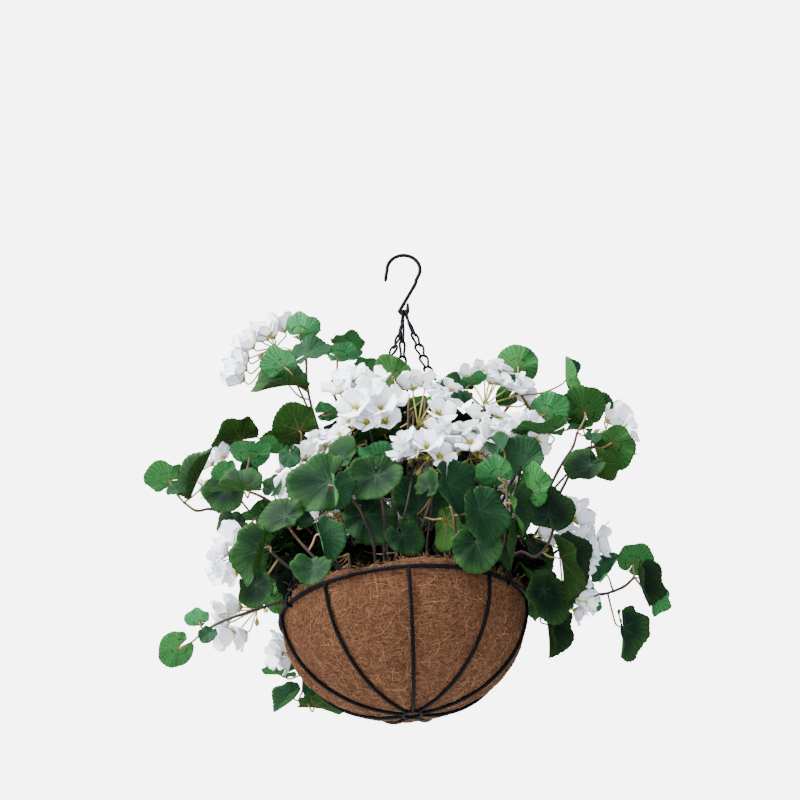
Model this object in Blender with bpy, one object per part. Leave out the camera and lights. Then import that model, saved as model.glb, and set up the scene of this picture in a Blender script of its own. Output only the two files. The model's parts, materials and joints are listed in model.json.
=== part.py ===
"""Geranium hanging basket: a wire basket with a coco liner on three chains and a hook, planted with
white geraniums. Metres, +Z up, -Y towards the viewer, origin at the hook's seat: the inside top of
its crook."""

import bpy
import bmesh
from collections import namedtuple
from math import atan2, cos, pi, radians, sin, sqrt
from mathutils import Matrix, Vector

MM = 0.001
GAP = 0.3 * MM

RIM_RADIUS = 150 * MM
RIM_WIRE = 5.0 * MM
RIM_DROP = 503 * MM
BASKET_TILT = radians(4.5)
BOWL_DEPTH = 127 * MM
RIB_WIRE = 4.2 * MM
RIB_COUNT = 9
RIB_START = radians(2)
BASE_RING_RADIUS = 11 * MM
LINER_RADIUS = RIM_RADIUS - RIM_WIRE / 2 - 1 * MM
LINER_DEPTH = BOWL_DEPTH - RIB_WIRE / 2 - GAP
LINER_WALL = 8 * MM
BOWL_COLUMNS = 30
BOWL_FALLS = [radians(fall) for fall in (0, 22, 45, 68)]
LINER_LIP = 10 * MM
LIP_WAVE = 2.5 * MM
SOIL_DROP = 12 * MM

HOOK_WIRE = 3.4 * MM
CROOK_RADIUS = 21.4 * MM
EYE_RADIUS = 5.0 * MM
EYE_CENTRE = Vector((0.3, 0, -82)) * MM
HOOK_TIP = Vector((-23.5, 0, -38)) * MM
HOOK_SHANK = Vector((14.5, 0, -43.5)) * MM
HOOK_END = Vector((5.3, 0, -71)) * MM
SEAT_SPREAD = 0.78
CHAIN_WIRE = 1.9 * MM
LINK_PITCH = 19.7 * MM
LINK_HALF_WIDTH = 5.4 * MM
CHAIN_AZIMUTHS = {"left": radians(-65), "right": radians(56), "back": radians(176)}
# A chain's loop round the rim wire, as shares of the reach from wire centre to wire centre, its top last.
RIM_LOOP = [(0.8, 2.2), (1, 0), (0.75, -0.85), (-0.75, -0.85), (-1, 0), (-0.8, 2.2), (0, 3.4)]
# A link's half outline as shares of its half width and pitch, and how far its legs close at the foot.
LINK_SHOULDER = (1, 0.28)
LINK_TOP = (0.5, 0.01)
LINK_CLOSING = 0.3
LAST_CLOSING = 0.06
LINK_TIP = 0.45
NOTCH_SIZE = (7 * MM, 16 * MM, 40 * MM)

LEAF_THICKNESS = 0.9 * MM
STEM_WIRE = 4.0 * MM
PETIOLE_WIRE = 2.0 * MM
PEDICEL_WIRE = 1.8 * MM
PEDUNCLE_WIRE = 3.2 * MM
STEM_TAPER = 0.45
STALK_TAPER = (0.35, 1, 0.8)
HOLE_DEPTH = 22 * MM
HOLE_RADIUS = 3.6 * MM
FLORET_SIZE = 33 * MM
FLORET_CUP = 5 * MM
CALYX_DEPTH = 5 * MM
PETAL_CUT = 0.6
UMBEL_STEP = 1.2 * MM
SMALL_LEAF = 64 * MM
STALK_INSET = 0.3
HEART_OFFSET = 0.12
BLADE_SPREAD = radians(150)
LOBE_CUT = 0.13
PLEAT = 0.07
DROOP = 0.05
CROWN_HEIGHT = 100 * MM
CROWN_PULL = 0.8

# Where someone stands looking up at the basket, for placing leaves and flowers as they are seen.
VIEWER = Vector((-4.6, -2673, -1573)) * MM
LOOK_UP = radians(27)
RIGHT = Vector((1, 0, 0))
UP = Vector((0, -sin(LOOK_UP), cos(LOOK_UP)))

RIM_CENTRE = Vector((0, 0, -RIM_DROP))
BASKET = Matrix.Translation(RIM_CENTRE) @ Matrix.Rotation(-BASKET_TILT, 4, "Y")

# A stem's hole is (right, back) in the basket, in mm. Every other place is (across, up, depth) in mm:
# right of and above the rim's centre as the viewer sees it, and behind the basket's axis.
# A leaf adds its size in mm and three angles: where its tip points as seen (0 right, 90 up), and
# the side that its upper face looks to (0 the viewer, 90 right, 180 away) and how far that face looks up.
Leaf = namedtuple("Leaf", "across up depth size tip faces rise")
Spray = namedtuple("Spray", "hole stem leaves")
Bloom = namedtuple("Bloom", "hole stem florets")

SPRAYS = {
    "spray_far_left": Spray(
        hole=(-70, 0),
        stem=[(-172, 91, 0), (-204, 115, -5), (-232, 128, -8), (-251, 126, -10), (-266, 136, -10)],
        leaves=[
            Leaf(-291, 169, -5, 51, 150, 180, 75),
            Leaf(-251, 173, -28, 65, 75, -50, 10),
        ],
    ),
    "spray_left_upper": Spray(
        hole=(-35, 10),
        stem=[
            (-68, 115, 14), (-80, 175, 16), (-89, 204, 15), (-111, 208, 14), (-138, 200, 12),
            (-167, 204, 14),
        ],
        leaves=[
            Leaf(-134, 232, -8, 63, 190, 180, 60),
            Leaf(-146, 212, 34, 68, 180, 0, 80),
            Leaf(-203, 221, 30, 63, 170, 180, 82),
        ],
    ),
    "spray_left_middle": Spray(
        hole=(-60, -35),
        stem=[(-101, 85, -50), (-138, 121, -56), (-170, 142, -60), (-190, 151, -60), (-195, 161, -58)],
        leaves=[
            Leaf(-186, 196, -50, 54, 80, 180, 85),
            Leaf(-164, 200, -12, 39, 20, 180, 85),
            Leaf(-218, 172, -72, 33, 160, 180, 60),
            Leaf(-216, 149, -46, 58, 250, -20, 0),
            Leaf(-202, 151, -95, 69, 170, 0, 46),
        ],
    ),
    "spray_left_lower": Spray(
        hole=(-85, -50),
        stem=[(-126, 48, -72), (-147, 64, -80), (-164, 81, -85), (-174, 100, -86), (-179, 117, -84)],
        leaves=[
            Leaf(-184, 76, -120, 77, 265, -52, 0),
            Leaf(-208, 110, -50, 41, 200, 0, 20),
            Leaf(-176, 33, -58, 44, 280, -20, 0),
        ],
    ),
    "spray_left_front": Spray(
        hole=(-55, -80),
        stem=[(-82, 59, -110), (-101, 64, -126), (-120, 82, -130), (-135, 100, -130)],
        leaves=[
            Leaf(-150, 121, -130, 58, 150, -10, 20),
            Leaf(-99, 91, -150, 56, 270, 50, 0),
            Leaf(-113, 54, -158, 48, 250, 0, 5),
        ],
    ),
    "spray_top_left": Spray(
        hole=(-25, 35),
        stem=[
            (-68, 133, 40), (-94, 200, 46), (-109, 242, 46), (-117, 278, 44), (-118, 306, 42),
            (-120, 325, 40),
        ],
        leaves=[
            Leaf(-121, 346, 22, 45, 60, 180, 70),
            Leaf(-113, 324, 8, 58, 35, 0, 40),
            Leaf(-158, 305, 6, 46, 160, 180, 55),
            Leaf(-150, 283, -22, 70, 190, 0, 25),
        ],
    ),
    "spray_top_middle": Spray(
        hole=(-5, 45),
        stem=[(-43, 133, 66), (-63, 206, 76), (-81, 258, 78), (-88, 277, 76), (-81, 294, 72)],
        leaves=[
            Leaf(-70, 330, 98, 48, 20, 180, 88),
            Leaf(-72, 318, 58, 47, 50, 180, 80),
            Leaf(-41, 300, 86, 33, 0, 180, 75),
        ],
    ),
    "spray_top_centre": Spray(
        hole=(10, 25),
        stem=[(-9, 115, 34), (-14, 194, 42), (-15, 242, 52), (-11, 272, 62)],
        leaves=[
            Leaf(-8, 296, 66, 58, 90, 48, 0),
            Leaf(-31, 219, 14, 70, 180, 0, 87),
        ],
    ),
    "spray_low_left": Spray(
        hole=(-95, 15),
        stem=[
            (-123, 18, 20), (-150, 15, 20), (-178, 7, 20), (-198, 0, 16), (-220, -8, 14),
            (-241, -19, 10),
        ],
        leaves=[
            Leaf(-276, -42, 0, 46, 220, 180, 45),
            Leaf(-251, -6, -2, 31, 140, 180, 60),
        ],
    ),
    "spray_low_behind": Spray(
        hole=(-60, 92),
        stem=[(-82, -30, 104), (-101, -33, 130), (-115, -47, 156), (-121, -70, 168), (-122, -91, 172)],
        leaves=[
            Leaf(-150, -68, 196, 42, 180, 180, 84),
            Leaf(-144, -109, 166, 35, 220, -30, 10),
            Leaf(-101, -111, 184, 58, -10, 180, 87),
        ],
    ),
    "spray_front_left": Spray(
        hole=(-20, -70),
        stem=[(-34, 64, -86), (-36, 88, -96), (-45, 109, -106), (-54, 129, -114), (-68, 146, -120)],
        leaves=[
            Leaf(-99, 157, -126, 75, 190, -10, 0),
            Leaf(-81, 143, -152, 56, 255, 62, 0),
            Leaf(-41, 115, -68, 70, 300, 10, 0),
        ],
    ),
    "spray_front_middle": Spray(
        hole=(5, -60),
        stem=[(-22, 67, -70), (-22, 100, -86), (-25, 129, -102), (-29, 149, -112)],
        leaves=[
            Leaf(-35, 163, -126, 70, 265, 0, 18),
            Leaf(-29, 191, -58, 58, 90, 180, 76),
            Leaf(-74, 196, -102, 46, 100, -30, 0),
        ],
    ),
    "spray_front_centre": Spray(
        hole=(25, -65),
        stem=[(10, 67, -78), (18, 93, -94), (28, 125, -108), (34, 143, -112)],
        leaves=[
            Leaf(12, 139, -50, 68, 80, 15, 0),
            Leaf(1, 93, -104, 48, 300, 0, 0),
            Leaf(52, 105, -120, 54, 280, 55, 0),
            Leaf(32, 159, -122, 39, 90, -40, 0),
        ],
    ),
    "spray_front_right": Spray(
        hole=(50, -75),
        stem=[(63, 62, -108), (63, 88, -126), (61, 115, -136), (57, 132, -140)],
        leaves=[
            Leaf(57, 149, -144, 75, 275, 48, 0),
            Leaf(101, 119, -150, 73, -20, 15, 0),
            Leaf(92, 80, -174, 63, 280, 0, 0),
        ],
    ),
    "spray_right_front": Spray(
        hole=(75, -75),
        stem=[(116, 71, -112), (124, 103, -120), (125, 133, -122), (124, 159, -120)],
        leaves=[
            Leaf(109, 174, -126, 48, 150, 180, 55),
            Leaf(141, 128, -138, 67, 280, 70, 0),
            Leaf(135, 87, -117, 65, 270, -60, 0),
        ],
    ),
    "spray_right_middle": Spray(
        hole=(70, -30),
        stem=[(126, 73, -46), (141, 113, -58), (150, 142, -66)],
        leaves=[
            Leaf(156, 157, -84, 52, 80, 125, 30),
            Leaf(139, 184, -66, 56, 100, -10, -5),
        ],
    ),
    "spray_right_lower": Spray(
        hole=(92, -52),
        stem=[(135, 74, -78), (159, 70, -90), (174, 85, -90), (181, 103, -88)],
        leaves=[
            Leaf(176, 125, -100, 56, 80, 10, 0),
            Leaf(200, 57, -96, 92, 293, 68, 0),
        ],
    ),
    "spray_right_side": Spray(
        hole=(100, -24),
        stem=[(147, 50, -28), (165, 56, -44), (176, 48, -58), (178, 33, -64)],
        leaves=[
            Leaf(171, 21, -72, 68, 265, 38, 0),
            Leaf(183, -18, -12, 77, 270, 68, 0),
        ],
    ),
    "spray_top_right": Spray(
        hole=(35, 40),
        stem=[
            (51, 115, 46), (78, 188, 42), (104, 224, 32), (125, 250, 26), (135, 265, 22),
            (137, 282, 20),
        ],
        leaves=[
            Leaf(138, 306, 34, 48, 90, 180, 35),
            Leaf(125, 263, 40, 34, 230, 180, 60),
            Leaf(85, 282, 46, 41, 10, 180, 85),
            Leaf(68, 271, 34, 36, 170, 0, 0),
        ],
    ),
    "spray_upper_right": Spray(
        hole=(60, 5),
        stem=[
            (97, 91, 0), (129, 157, -8), (150, 202, -12), (159, 229, -14), (153, 248, -14),
            (142, 266, -12),
        ],
        leaves=[
            Leaf(178, 248, -6, 51, 15, 180, 60),
            Leaf(166, 226, -30, 77, 180, 0, 86),
            Leaf(197, 296, 0, 39, 110, 75, 0),
        ],
    ),
    "spray_far_right_upper": Spray(
        hole=(85, 20),
        stem=[(133, 79, 16), (171, 144, 12), (187, 175, 10), (196, 190, 8), (205, 204, 6), (210, 221, 5)],
        leaves=[
            Leaf(216, 252, 0, 60, 80, 180, 40),
            Leaf(211, 226, 30, 44, 190, 0, 80),
        ],
    ),
    "spray_far_right": Spray(
        hole=(92, -2),
        stem=[
            (143, 73, -16), (183, 137, -20), (202, 173, -22), (213, 195, -22), (225, 203, -22),
            (236, 201, -22),
        ],
        leaves=[
            Leaf(257, 204, -22, 53, 10, 160, 40),
            Leaf(241, 180, -38, 46, 300, 180, 55),
            Leaf(211, 184, -50, 54, 200, 0, 15),
        ],
    ),
    "spray_low_right": Spray(
        hole=(110, 8),
        stem=[(161, 38, 10), (191, 34, 6), (214, 28, 2), (240, 25, 0), (266, 34, 0), (279, 46, 0)],
        leaves=[
            Leaf(248, 54, 2, 46, 80, -45, 0),
            Leaf(281, 67, 6, 46, 60, 180, 40),
            Leaf(298, 36, -16, 60, 275, 55, 0),
            Leaf(305, 15, 14, 36, 290, 130, 10),
            Leaf(277, -23, -12, 67, 270, 50, 0),
        ],
    ),
}
BLOOMS = {
    "bloom_top_left": Bloom(
        hole=(-40, 55),
        stem=[(-71, 145, 62), (-99, 212, 62), (-122, 263, 62), (-139, 299, 58), (-155, 323, 48)],
        florets=[
            (-146, 350, 60), (-166, 344, 24), (-187, 328, 22), (-203, 318, 40),
            (-197, 301, 22), (-203, 284, 44), (-176, 338, 58),
        ],
    ),
    "bloom_left": Bloom(
        hole=(-100, -18),
        stem=[(-135, 35, -22), (-169, 47, -32), (-191, 59, -42), (-204, 67, -46)],
        florets=[
            (-204, 90, -66), (-221, 75, -60), (-230, 59, -48), (-228, 46, -62),
            (-210, 41, -66),
        ],
    ),
    "bloom_left_inner": Bloom(
        hole=(-45, -55),
        stem=[(-83, 67, -74), (-104, 100, -72), (-120, 139, -70), (-127, 166, -66)],
        florets=[
            (-122, 195, -62), (-146, 184, -66), (-140, 159, -94), (-130, 140, -92),
            (-121, 126, -92),
        ],
    ),
    "bloom_far_left": Bloom(
        hole=(-75, 22),
        stem=[(-126, 67, 22), (-176, 113, 22), (-205, 149, 20), (-219, 168, 18)],
        florets=[
            (-230, 190, 6), (-243, 154, 10), (-218, 197, 34),
        ],
    ),
    "bloom_low_left": Bloom(
        hole=(-105, 38),
        stem=[(-120, 22, 46), (-147, 17, 46), (-167, 10, 42), (-179, 5, 40)],
        florets=[
            (-209, 12, 46), (-227, 5, 40), (-231, -13, 36), (-222, -30, 34),
            (-201, -35, 32),
        ],
    ),
    "bloom_low_behind": Bloom(
        hole=(-88, 70),
        stem=[(-111, -18, 84), (-123, -25, 112), (-129, -38, 136)],
        florets=[
            (-153, -40, 140), (-150, -58, 146), (-163, -50, 126),
        ],
    ),
    "bloom_top": Bloom(
        hole=(-10, -25),
        stem=[(-22, 97, -20), (-28, 151, -14), (-37, 206, -20), (-45, 241, -50)],
        florets=[
            (-59, 255, -104), (-31, 254, -102), (-68, 236, -92), (-40, 272, -98),
            (-81, 278, -74), (-64, 293, -70), (-36, 292, -78), (-13, 260, -86),
            (-22, 237, -90), (-80, 221, -76),
        ],
    ),
    "bloom_top_front": Bloom(
        hole=(10, -80),
        stem=[
            (-24, 67, -92), (-12, 93, -98), (1, 122, -98), (9, 161, -88), (12, 188, -76),
            (16, 212, -68), (17, 229, -66),
        ],
        florets=[
            (11, 280, -62), (27, 284, -72), (39, 270, -90), (45, 249, -104),
            (60, 277, -64), (56, 263, -84),
        ],
    ),
    "bloom_centre": Bloom(
        hole=(32, -45),
        stem=[(28, 81, -56), (34, 125, -70), (34, 161, -82), (32, 189, -88)],
        florets=[
            (28, 207, -118), (1, 215, -106), (-6, 198, -100), (41, 225, -98),
            (45, 194, -112), (58, 208, -94),
        ],
    ),
    "bloom_top_right": Bloom(
        hole=(45, 0),
        stem=[(62, 109, 0), (80, 182, -2), (92, 229, -4), (98, 254, -4)],
        florets=[
            (83, 293, 0), (101, 300, -16), (115, 286, -36), (130, 280, -28),
            (147, 273, 10), (153, 258, 20),
        ],
    ),
    "bloom_right_inner": Bloom(
        hole=(40, -58),
        stem=[(70, 81, -82), (78, 125, -90), (85, 161, -88), (89, 190, -82)],
        florets=[
            (81, 213, -114), (67, 227, -100), (90, 243, -84), (112, 231, -106),
            (103, 214, -110), (116, 246, -88),
        ],
    ),
    "bloom_right_upper": Bloom(
        hole=(64, -14),
        stem=[(116, 81, -28), (133, 137, -42), (142, 178, -50), (147, 221, -58)],
        florets=[
            (131, 231, -78), (145, 225, -92), (161, 231, -92), (138, 211, -90),
            (164, 212, -96),
        ],
    ),
    "bloom_right": Bloom(
        hole=(104, 28),
        stem=[(153, 54, 24), (174, 69, 10), (191, 81, -4)],
        florets=[
            (217, 126, -20), (200, 134, -8), (210, 90, -44), (242, 92, -16),
            (228, 79, -32), (217, 53, -30), (172, 100, -46), (189, 109, -44),
            (211, 4, 0), (228, 15, -26),
        ],
    ),
    "bloom_far_right": Bloom(
        hole=(80, 45),
        stem=[(131, 91, 46), (189, 161, 42), (228, 202, 36), (245, 223, 32)],
        florets=[
            (268, 220, 20), (251, 247, 22), (274, 236, 36), (260, 254, 42),
        ],
    ),
}

# The side away from the viewer: (azimuth, reach in mm, height above the rim in mm) of each stem's tip.
REAR_SPRAYS = {
    "spray_rear_left": (-138, 230, 120),
    "spray_rear_middle": (-166, 215, 60),
    "spray_rear_high": (166, 165, 185),
    "spray_rear_right": (128, 235, 90),
}
REAR_BLOOMS = {
    "bloom_rear_left": (-152, 170, 190),
    "bloom_rear_right": (139, 205, 135),
}
REAR_LEAVES = 4
REAR_FLORETS = 5
REAR_SPRAY_HOLE = 108
REAR_BLOOM_HOLE = 85
UMBEL_RADIUS = 28 * MM


def clear_scene():
    for thing in list(bpy.data.objects):
        bpy.data.objects.remove(thing, do_unlink=True)


def new_collection(name, hidden=False):
    collection = bpy.data.collections.new(name)
    bpy.context.scene.collection.children.link(collection)
    collection.hide_render = hidden
    return collection


def plain_material(name, colour, roughness, metallic=0.0):
    made = bpy.data.materials.new(name)
    made.use_nodes = True
    shader = made.node_tree.nodes["Principled BSDF"]
    shader.inputs["Base Color"].default_value = (*colour, 1)
    shader.inputs["Roughness"].default_value = roughness
    shader.inputs["Metallic"].default_value = metallic
    return made


def in_basket(right, back, up):
    """A point given in the tilted basket's own frame, in metres."""
    return BASKET @ Vector((right, back, up))


def seen(across, up, depth):
    """The point that the viewer sees across and up mm from the rim's centre, depth mm behind the axis."""
    ray = RIM_CENTRE + (RIGHT * across + UP * up) * MM - VIEWER
    return VIEWER + ray * ((depth * MM - VIEWER.y) / ray.y)


def around(azimuth, reach, height):
    """A point round the basket: azimuth in degrees from the viewer's side, in mm from the axis and rim."""
    turn = radians(azimuth)
    return RIM_CENTRE + Vector((reach * sin(turn), -reach * cos(turn), height)) * MM


def object_from(mesh, name, collection, material=None):
    made = bpy.data.objects.new(name, mesh)
    collection.objects.link(made)
    if material:
        mesh.materials.clear()
        mesh.materials.append(material)
    return made


def face_outwards(work):
    bmesh.ops.recalc_face_normals(work, faces=work.faces)
    if work.calc_volume(signed=True) < 0:
        bmesh.ops.reverse_faces(work, faces=work.faces)


def mesh_object(work, name, collection, material=None):
    """The bmesh written to an object of its own, with its faces turned out."""
    face_outwards(work)
    mesh = bpy.data.meshes.new(name)
    work.to_mesh(mesh)
    work.free()
    return object_from(mesh, name, collection, material)


def wire(points, thickness, name, collection, cyclic=False, rounding=1, section=None, radii=None):
    """A round wire through the points; with a section object, a wire of that outline."""
    curve = bpy.data.curves.new(name, "CURVE")
    curve.dimensions = "3D"
    if section:
        curve.bevel_mode = "OBJECT"
        curve.bevel_object = section
    else:
        curve.bevel_depth = thickness / 2
        curve.bevel_resolution = rounding
    curve.use_fill_caps = not cyclic
    spline = curve.splines.new("POLY")
    spline.points.add(len(points) - 1)
    for number, (point, place) in enumerate(zip(spline.points, points)):
        point.co = (*place, 1)
        point.radius = radii[number] if radii else 1
        if section:
            point.radius *= thickness / 2 / MM
    spline.use_cyclic_u = cyclic
    made = bpy.data.objects.new(name, curve)
    collection.objects.link(made)
    return made


def as_mesh(curve_object):
    """The curve made a mesh object in the same place, with its caps welded."""
    bpy.context.view_layer.update()
    evaluated = curve_object.evaluated_get(bpy.context.evaluated_depsgraph_get())
    mesh = bpy.data.meshes.new_from_object(evaluated)
    work = bmesh.new()
    work.from_mesh(mesh)
    bmesh.ops.remove_doubles(work, verts=work.verts, dist=0.00001)
    face_outwards(work)
    work.to_mesh(mesh)
    work.free()
    name = curve_object.name
    collection = curve_object.users_collection[0]
    place = curve_object.matrix_world.copy()
    bpy.data.objects.remove(curve_object, do_unlink=True)
    made = object_from(mesh, name, collection)
    made.matrix_world = place
    return made


def islands(work):
    """The loose bodies of a bmesh, as lists of faces."""
    left = set(work.faces)
    while left:
        front = [left.pop()]
        body = list(front)
        while front:
            for edge in front.pop().edges:
                for face in edge.link_faces:
                    if face in left:
                        left.remove(face)
                        front.append(face)
                        body.append(face)
        yield body


def body_volume(faces):
    return sum(
        face.verts[0].co.dot(a.co.cross(b.co)) / 6
        for face in faces
        for a, b in zip(face.verts[1:], face.verts[2:])
    )


def keep_outside(mesh):
    """Fills sealed hollows and drops loose scraps: only the largest outer body stays."""
    work = bmesh.new()
    work.from_mesh(mesh)
    bodies = sorted(islands(work), key=body_volume)
    for body in bodies[:-1]:
        bmesh.ops.delete(work, geom=body, context="FACES")
    loose = [vert for vert in work.verts if not vert.link_faces]
    bmesh.ops.delete(work, geom=loose, context="VERTS")
    work.to_mesh(mesh)
    work.free()


def joined(pieces, name, collection, material, operation="UNION"):
    """One body from the first piece and the rest, by one Boolean on their collection."""
    base, *others = pieces
    operands = new_collection(name + "_pieces", hidden=True)
    for other in others:
        for holder in list(other.users_collection):
            holder.objects.unlink(other)
        operands.objects.link(other)
        other.hide_render = True
        other.display_type = "WIRE"
    modifier = base.modifiers.new("join", "BOOLEAN")
    modifier.operation = operation
    modifier.operand_type = "COLLECTION"
    modifier.collection = operands
    modifier.solver = "MANIFOLD"
    bpy.context.view_layer.update()
    evaluated = base.evaluated_get(bpy.context.evaluated_depsgraph_get())
    mesh = bpy.data.meshes.new_from_object(evaluated)
    place = base.matrix_world.copy()
    bpy.data.objects.remove(base, do_unlink=True)
    for other in others:
        bpy.data.objects.remove(other, do_unlink=True)
    bpy.data.collections.remove(operands)
    keep_outside(mesh)
    made = object_from(mesh, name, collection, material)
    made.matrix_world = place
    return made


def arc(centre, radius, start, end, count):
    """Points on an arc in the X-Z plane, angles in degrees from +X towards +Z."""
    for step in range(count):
        angle = radians(start + (end - start) * step / (count - 1))
        yield centre + Vector((cos(angle), 0, sin(angle))) * radius


def build_hook(parts, steel):
    """A round crook over the support, a slanting shank and a small open eye for the chains."""
    crook_centre = Vector((0, 0, HOOK_WIRE / 2 - CROOK_RADIUS))
    path = [HOOK_TIP]
    path += arc(crook_centre, CROOK_RADIUS, 185, -20, 12)
    path += [HOOK_SHANK]
    path += arc(EYE_CENTRE, EYE_RADIUS, 165, 360, 8)
    path += [HOOK_END]
    hook = wire(path, HOOK_WIRE, "hook", parts)
    hook.data.materials.append(steel)


def link_outline(top, along, wide, pitch, closing):
    """A hairpin link from its top down to the wire of the next link's top."""
    right = [LINK_TOP, LINK_SHOULDER, (closing, 1)]
    left = [(-across, down) for across, down in reversed(right)]
    outline = left + right
    return [top + wide * (across * LINK_HALF_WIDTH) + along * (down * pitch) for across, down in outline]


def chain_seat(name):
    """Where the top wire of a chain rests in the hook's eye: two side by side and the third on them."""
    reach = EYE_RADIUS - HOOK_WIRE / 2 - CHAIN_WIRE / 2 - GAP
    apart = SEAT_SPREAD * reach
    low = -sqrt(reach**2 - apart**2)
    if name == "back":
        return EYE_CENTRE + Vector((0, 0, low + sqrt((CHAIN_WIRE + GAP) ** 2 - apart**2) + GAP))
    return EYE_CENTRE + Vector((apart if name == "right" else -apart, 0, low))


def build_chain(name, azimuth, parts, steel, section):
    """A chain of hairpin links from the eye to a loop hooked round the rim."""
    outward = Vector((sin(azimuth), -cos(azimuth), 0))
    half = RIM_WIRE / 2 + GAP + CHAIN_WIRE / 2
    hanger = []
    for across, up in RIM_LOOP:
        place = outward * (RIM_RADIUS + across * half)
        hanger.append(in_basket(place.x, place.y, up * half))
    pieces = [as_mesh(wire(hanger, CHAIN_WIRE, "loop", parts, cyclic=True, section=section))]
    start = chain_seat(name)
    finish = hanger[-1]
    run = finish - start
    count = round(run.length / LINK_PITCH)
    along = run.normalized()
    wide = (Vector((0, 1, 0)) - along * along.y).normalized()
    pitch = run.length / count
    for number in range(count):
        closing = LAST_CLOSING if number == count - 1 else LINK_CLOSING
        points = link_outline(start + along * (number * pitch), along, wide, pitch, closing)
        radii = (LINK_TIP, 1, 1, 1, 1, LINK_TIP)
        link = wire(points, CHAIN_WIRE, "link", parts, section=section, radii=radii)
        pieces.append(as_mesh(link))
    joined(pieces, "chain_" + name, parts, steel)


def bowl_point(radius, depth, turn, fall):
    """A point on an ellipsoidal bowl: turn is the azimuth, fall runs from 0 at the rim to 90 degrees."""
    reach = radius * cos(fall)
    return Vector((reach * sin(turn), -reach * cos(turn), -depth * sin(fall)))


def build_frame(parts, steel, basket):
    """The rim ring, the ribs under it and the small ring at the base."""
    rim_path = [bowl_point(RIM_RADIUS, 0, 2 * pi * step / 40, 0) for step in range(40)]
    rim = wire(rim_path, RIM_WIRE, "rim_ring", parts, cyclic=True, rounding=0)
    base = Vector((0, 0, -BOWL_DEPTH))
    ring_path = [base + bowl_point(BASE_RING_RADIUS, 0, 2 * pi * step / 12, 0) for step in range(12)]
    ring = wire(ring_path, RIB_WIRE, "base_ring", parts, cyclic=True, rounding=0)
    first_fall = (RIM_WIRE / 2 + GAP) / BOWL_DEPTH
    ring_edge = BASE_RING_RADIUS + RIB_WIRE / 2 + GAP
    last_fall = atan2(sqrt(RIM_RADIUS**2 - ring_edge**2), ring_edge)
    ribs = []
    for number in range(RIB_COUNT):
        turn = RIB_START + 2 * pi * number / RIB_COUNT
        path = [
            bowl_point(RIM_RADIUS, BOWL_DEPTH, turn, first_fall + (last_fall - first_fall) * step / 9)
            for step in range(10)
        ]
        ribs.append(wire(path, RIB_WIRE, f"rib_{number + 1}", parts, rounding=0))
    for piece in (rim, ring, *ribs):
        piece.data.materials.append(steel)
        piece.parent = basket


def lip_height(turn):
    return LINER_LIP + LIP_WAVE * (sin(5 * turn) + 0.6 * sin(11 * turn + 1))


def build_liner(parts, cutters, coco, basket):
    """The coco liner: a bowl inside the ribs with a ragged lip, notched where the chains hook on."""
    outside = LINER_RADIUS
    outside_depth = LINER_DEPTH
    inside = outside - LINER_WALL
    inside_depth = outside_depth - LINER_WALL
    columns = BOWL_COLUMNS
    falls = BOWL_FALLS
    rows = [(outside, outside_depth, fall, 0) for fall in reversed(falls)]
    rows += [(outside - 0.5 * MM, 0, 0, 1), (inside + 1.5 * MM, 0, 0, 0.9)]
    rows += [(inside, inside_depth, fall, 0) for fall in falls]
    work = bmesh.new()
    rings = []
    for radius, depth, fall, lip in rows:
        ring = []
        for column in range(columns):
            turn = 2 * pi * column / columns
            rise = Vector((0, 0, lip * lip_height(turn)))
            ring.append(work.verts.new(bowl_point(radius, depth, turn, fall) + rise))
        rings.append(ring)
    for lower, upper in zip(rings, rings[1:]):
        for column in range(columns):
            after = (column + 1) % columns
            work.faces.new((lower[column], lower[after], upper[after], upper[column]))
    for ring, depth in ((rings[0], outside_depth), (rings[-1], inside_depth)):
        pole = work.verts.new((0, 0, -depth))
        for column in range(columns):
            work.faces.new((pole, ring[column], ring[(column + 1) % columns]))
    liner = mesh_object(work, "coco_liner", parts, coco)
    liner.parent = basket
    for name, azimuth in CHAIN_AZIMUTHS.items():
        notch = bmesh.new()
        bmesh.ops.create_cube(notch, size=1)
        size = Matrix.Diagonal((*NOTCH_SIZE, 1))
        middle = Matrix.Translation((0, -RIM_RADIUS, NOTCH_SIZE[2] / 2 - RIM_WIRE))
        notch.transform(Matrix.Rotation(azimuth, 4, "Z") @ middle @ size)
        cutter = mesh_object(notch, "notch_" + name, cutters)
        cutter.parent = basket
        cutter.hide_render = True
        cutter.display_type = "WIRE"
        cut = liner.modifiers.new("notch_" + name, "BOOLEAN")
        cut.operation = "DIFFERENCE"
        cut.object = cutter


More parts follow.
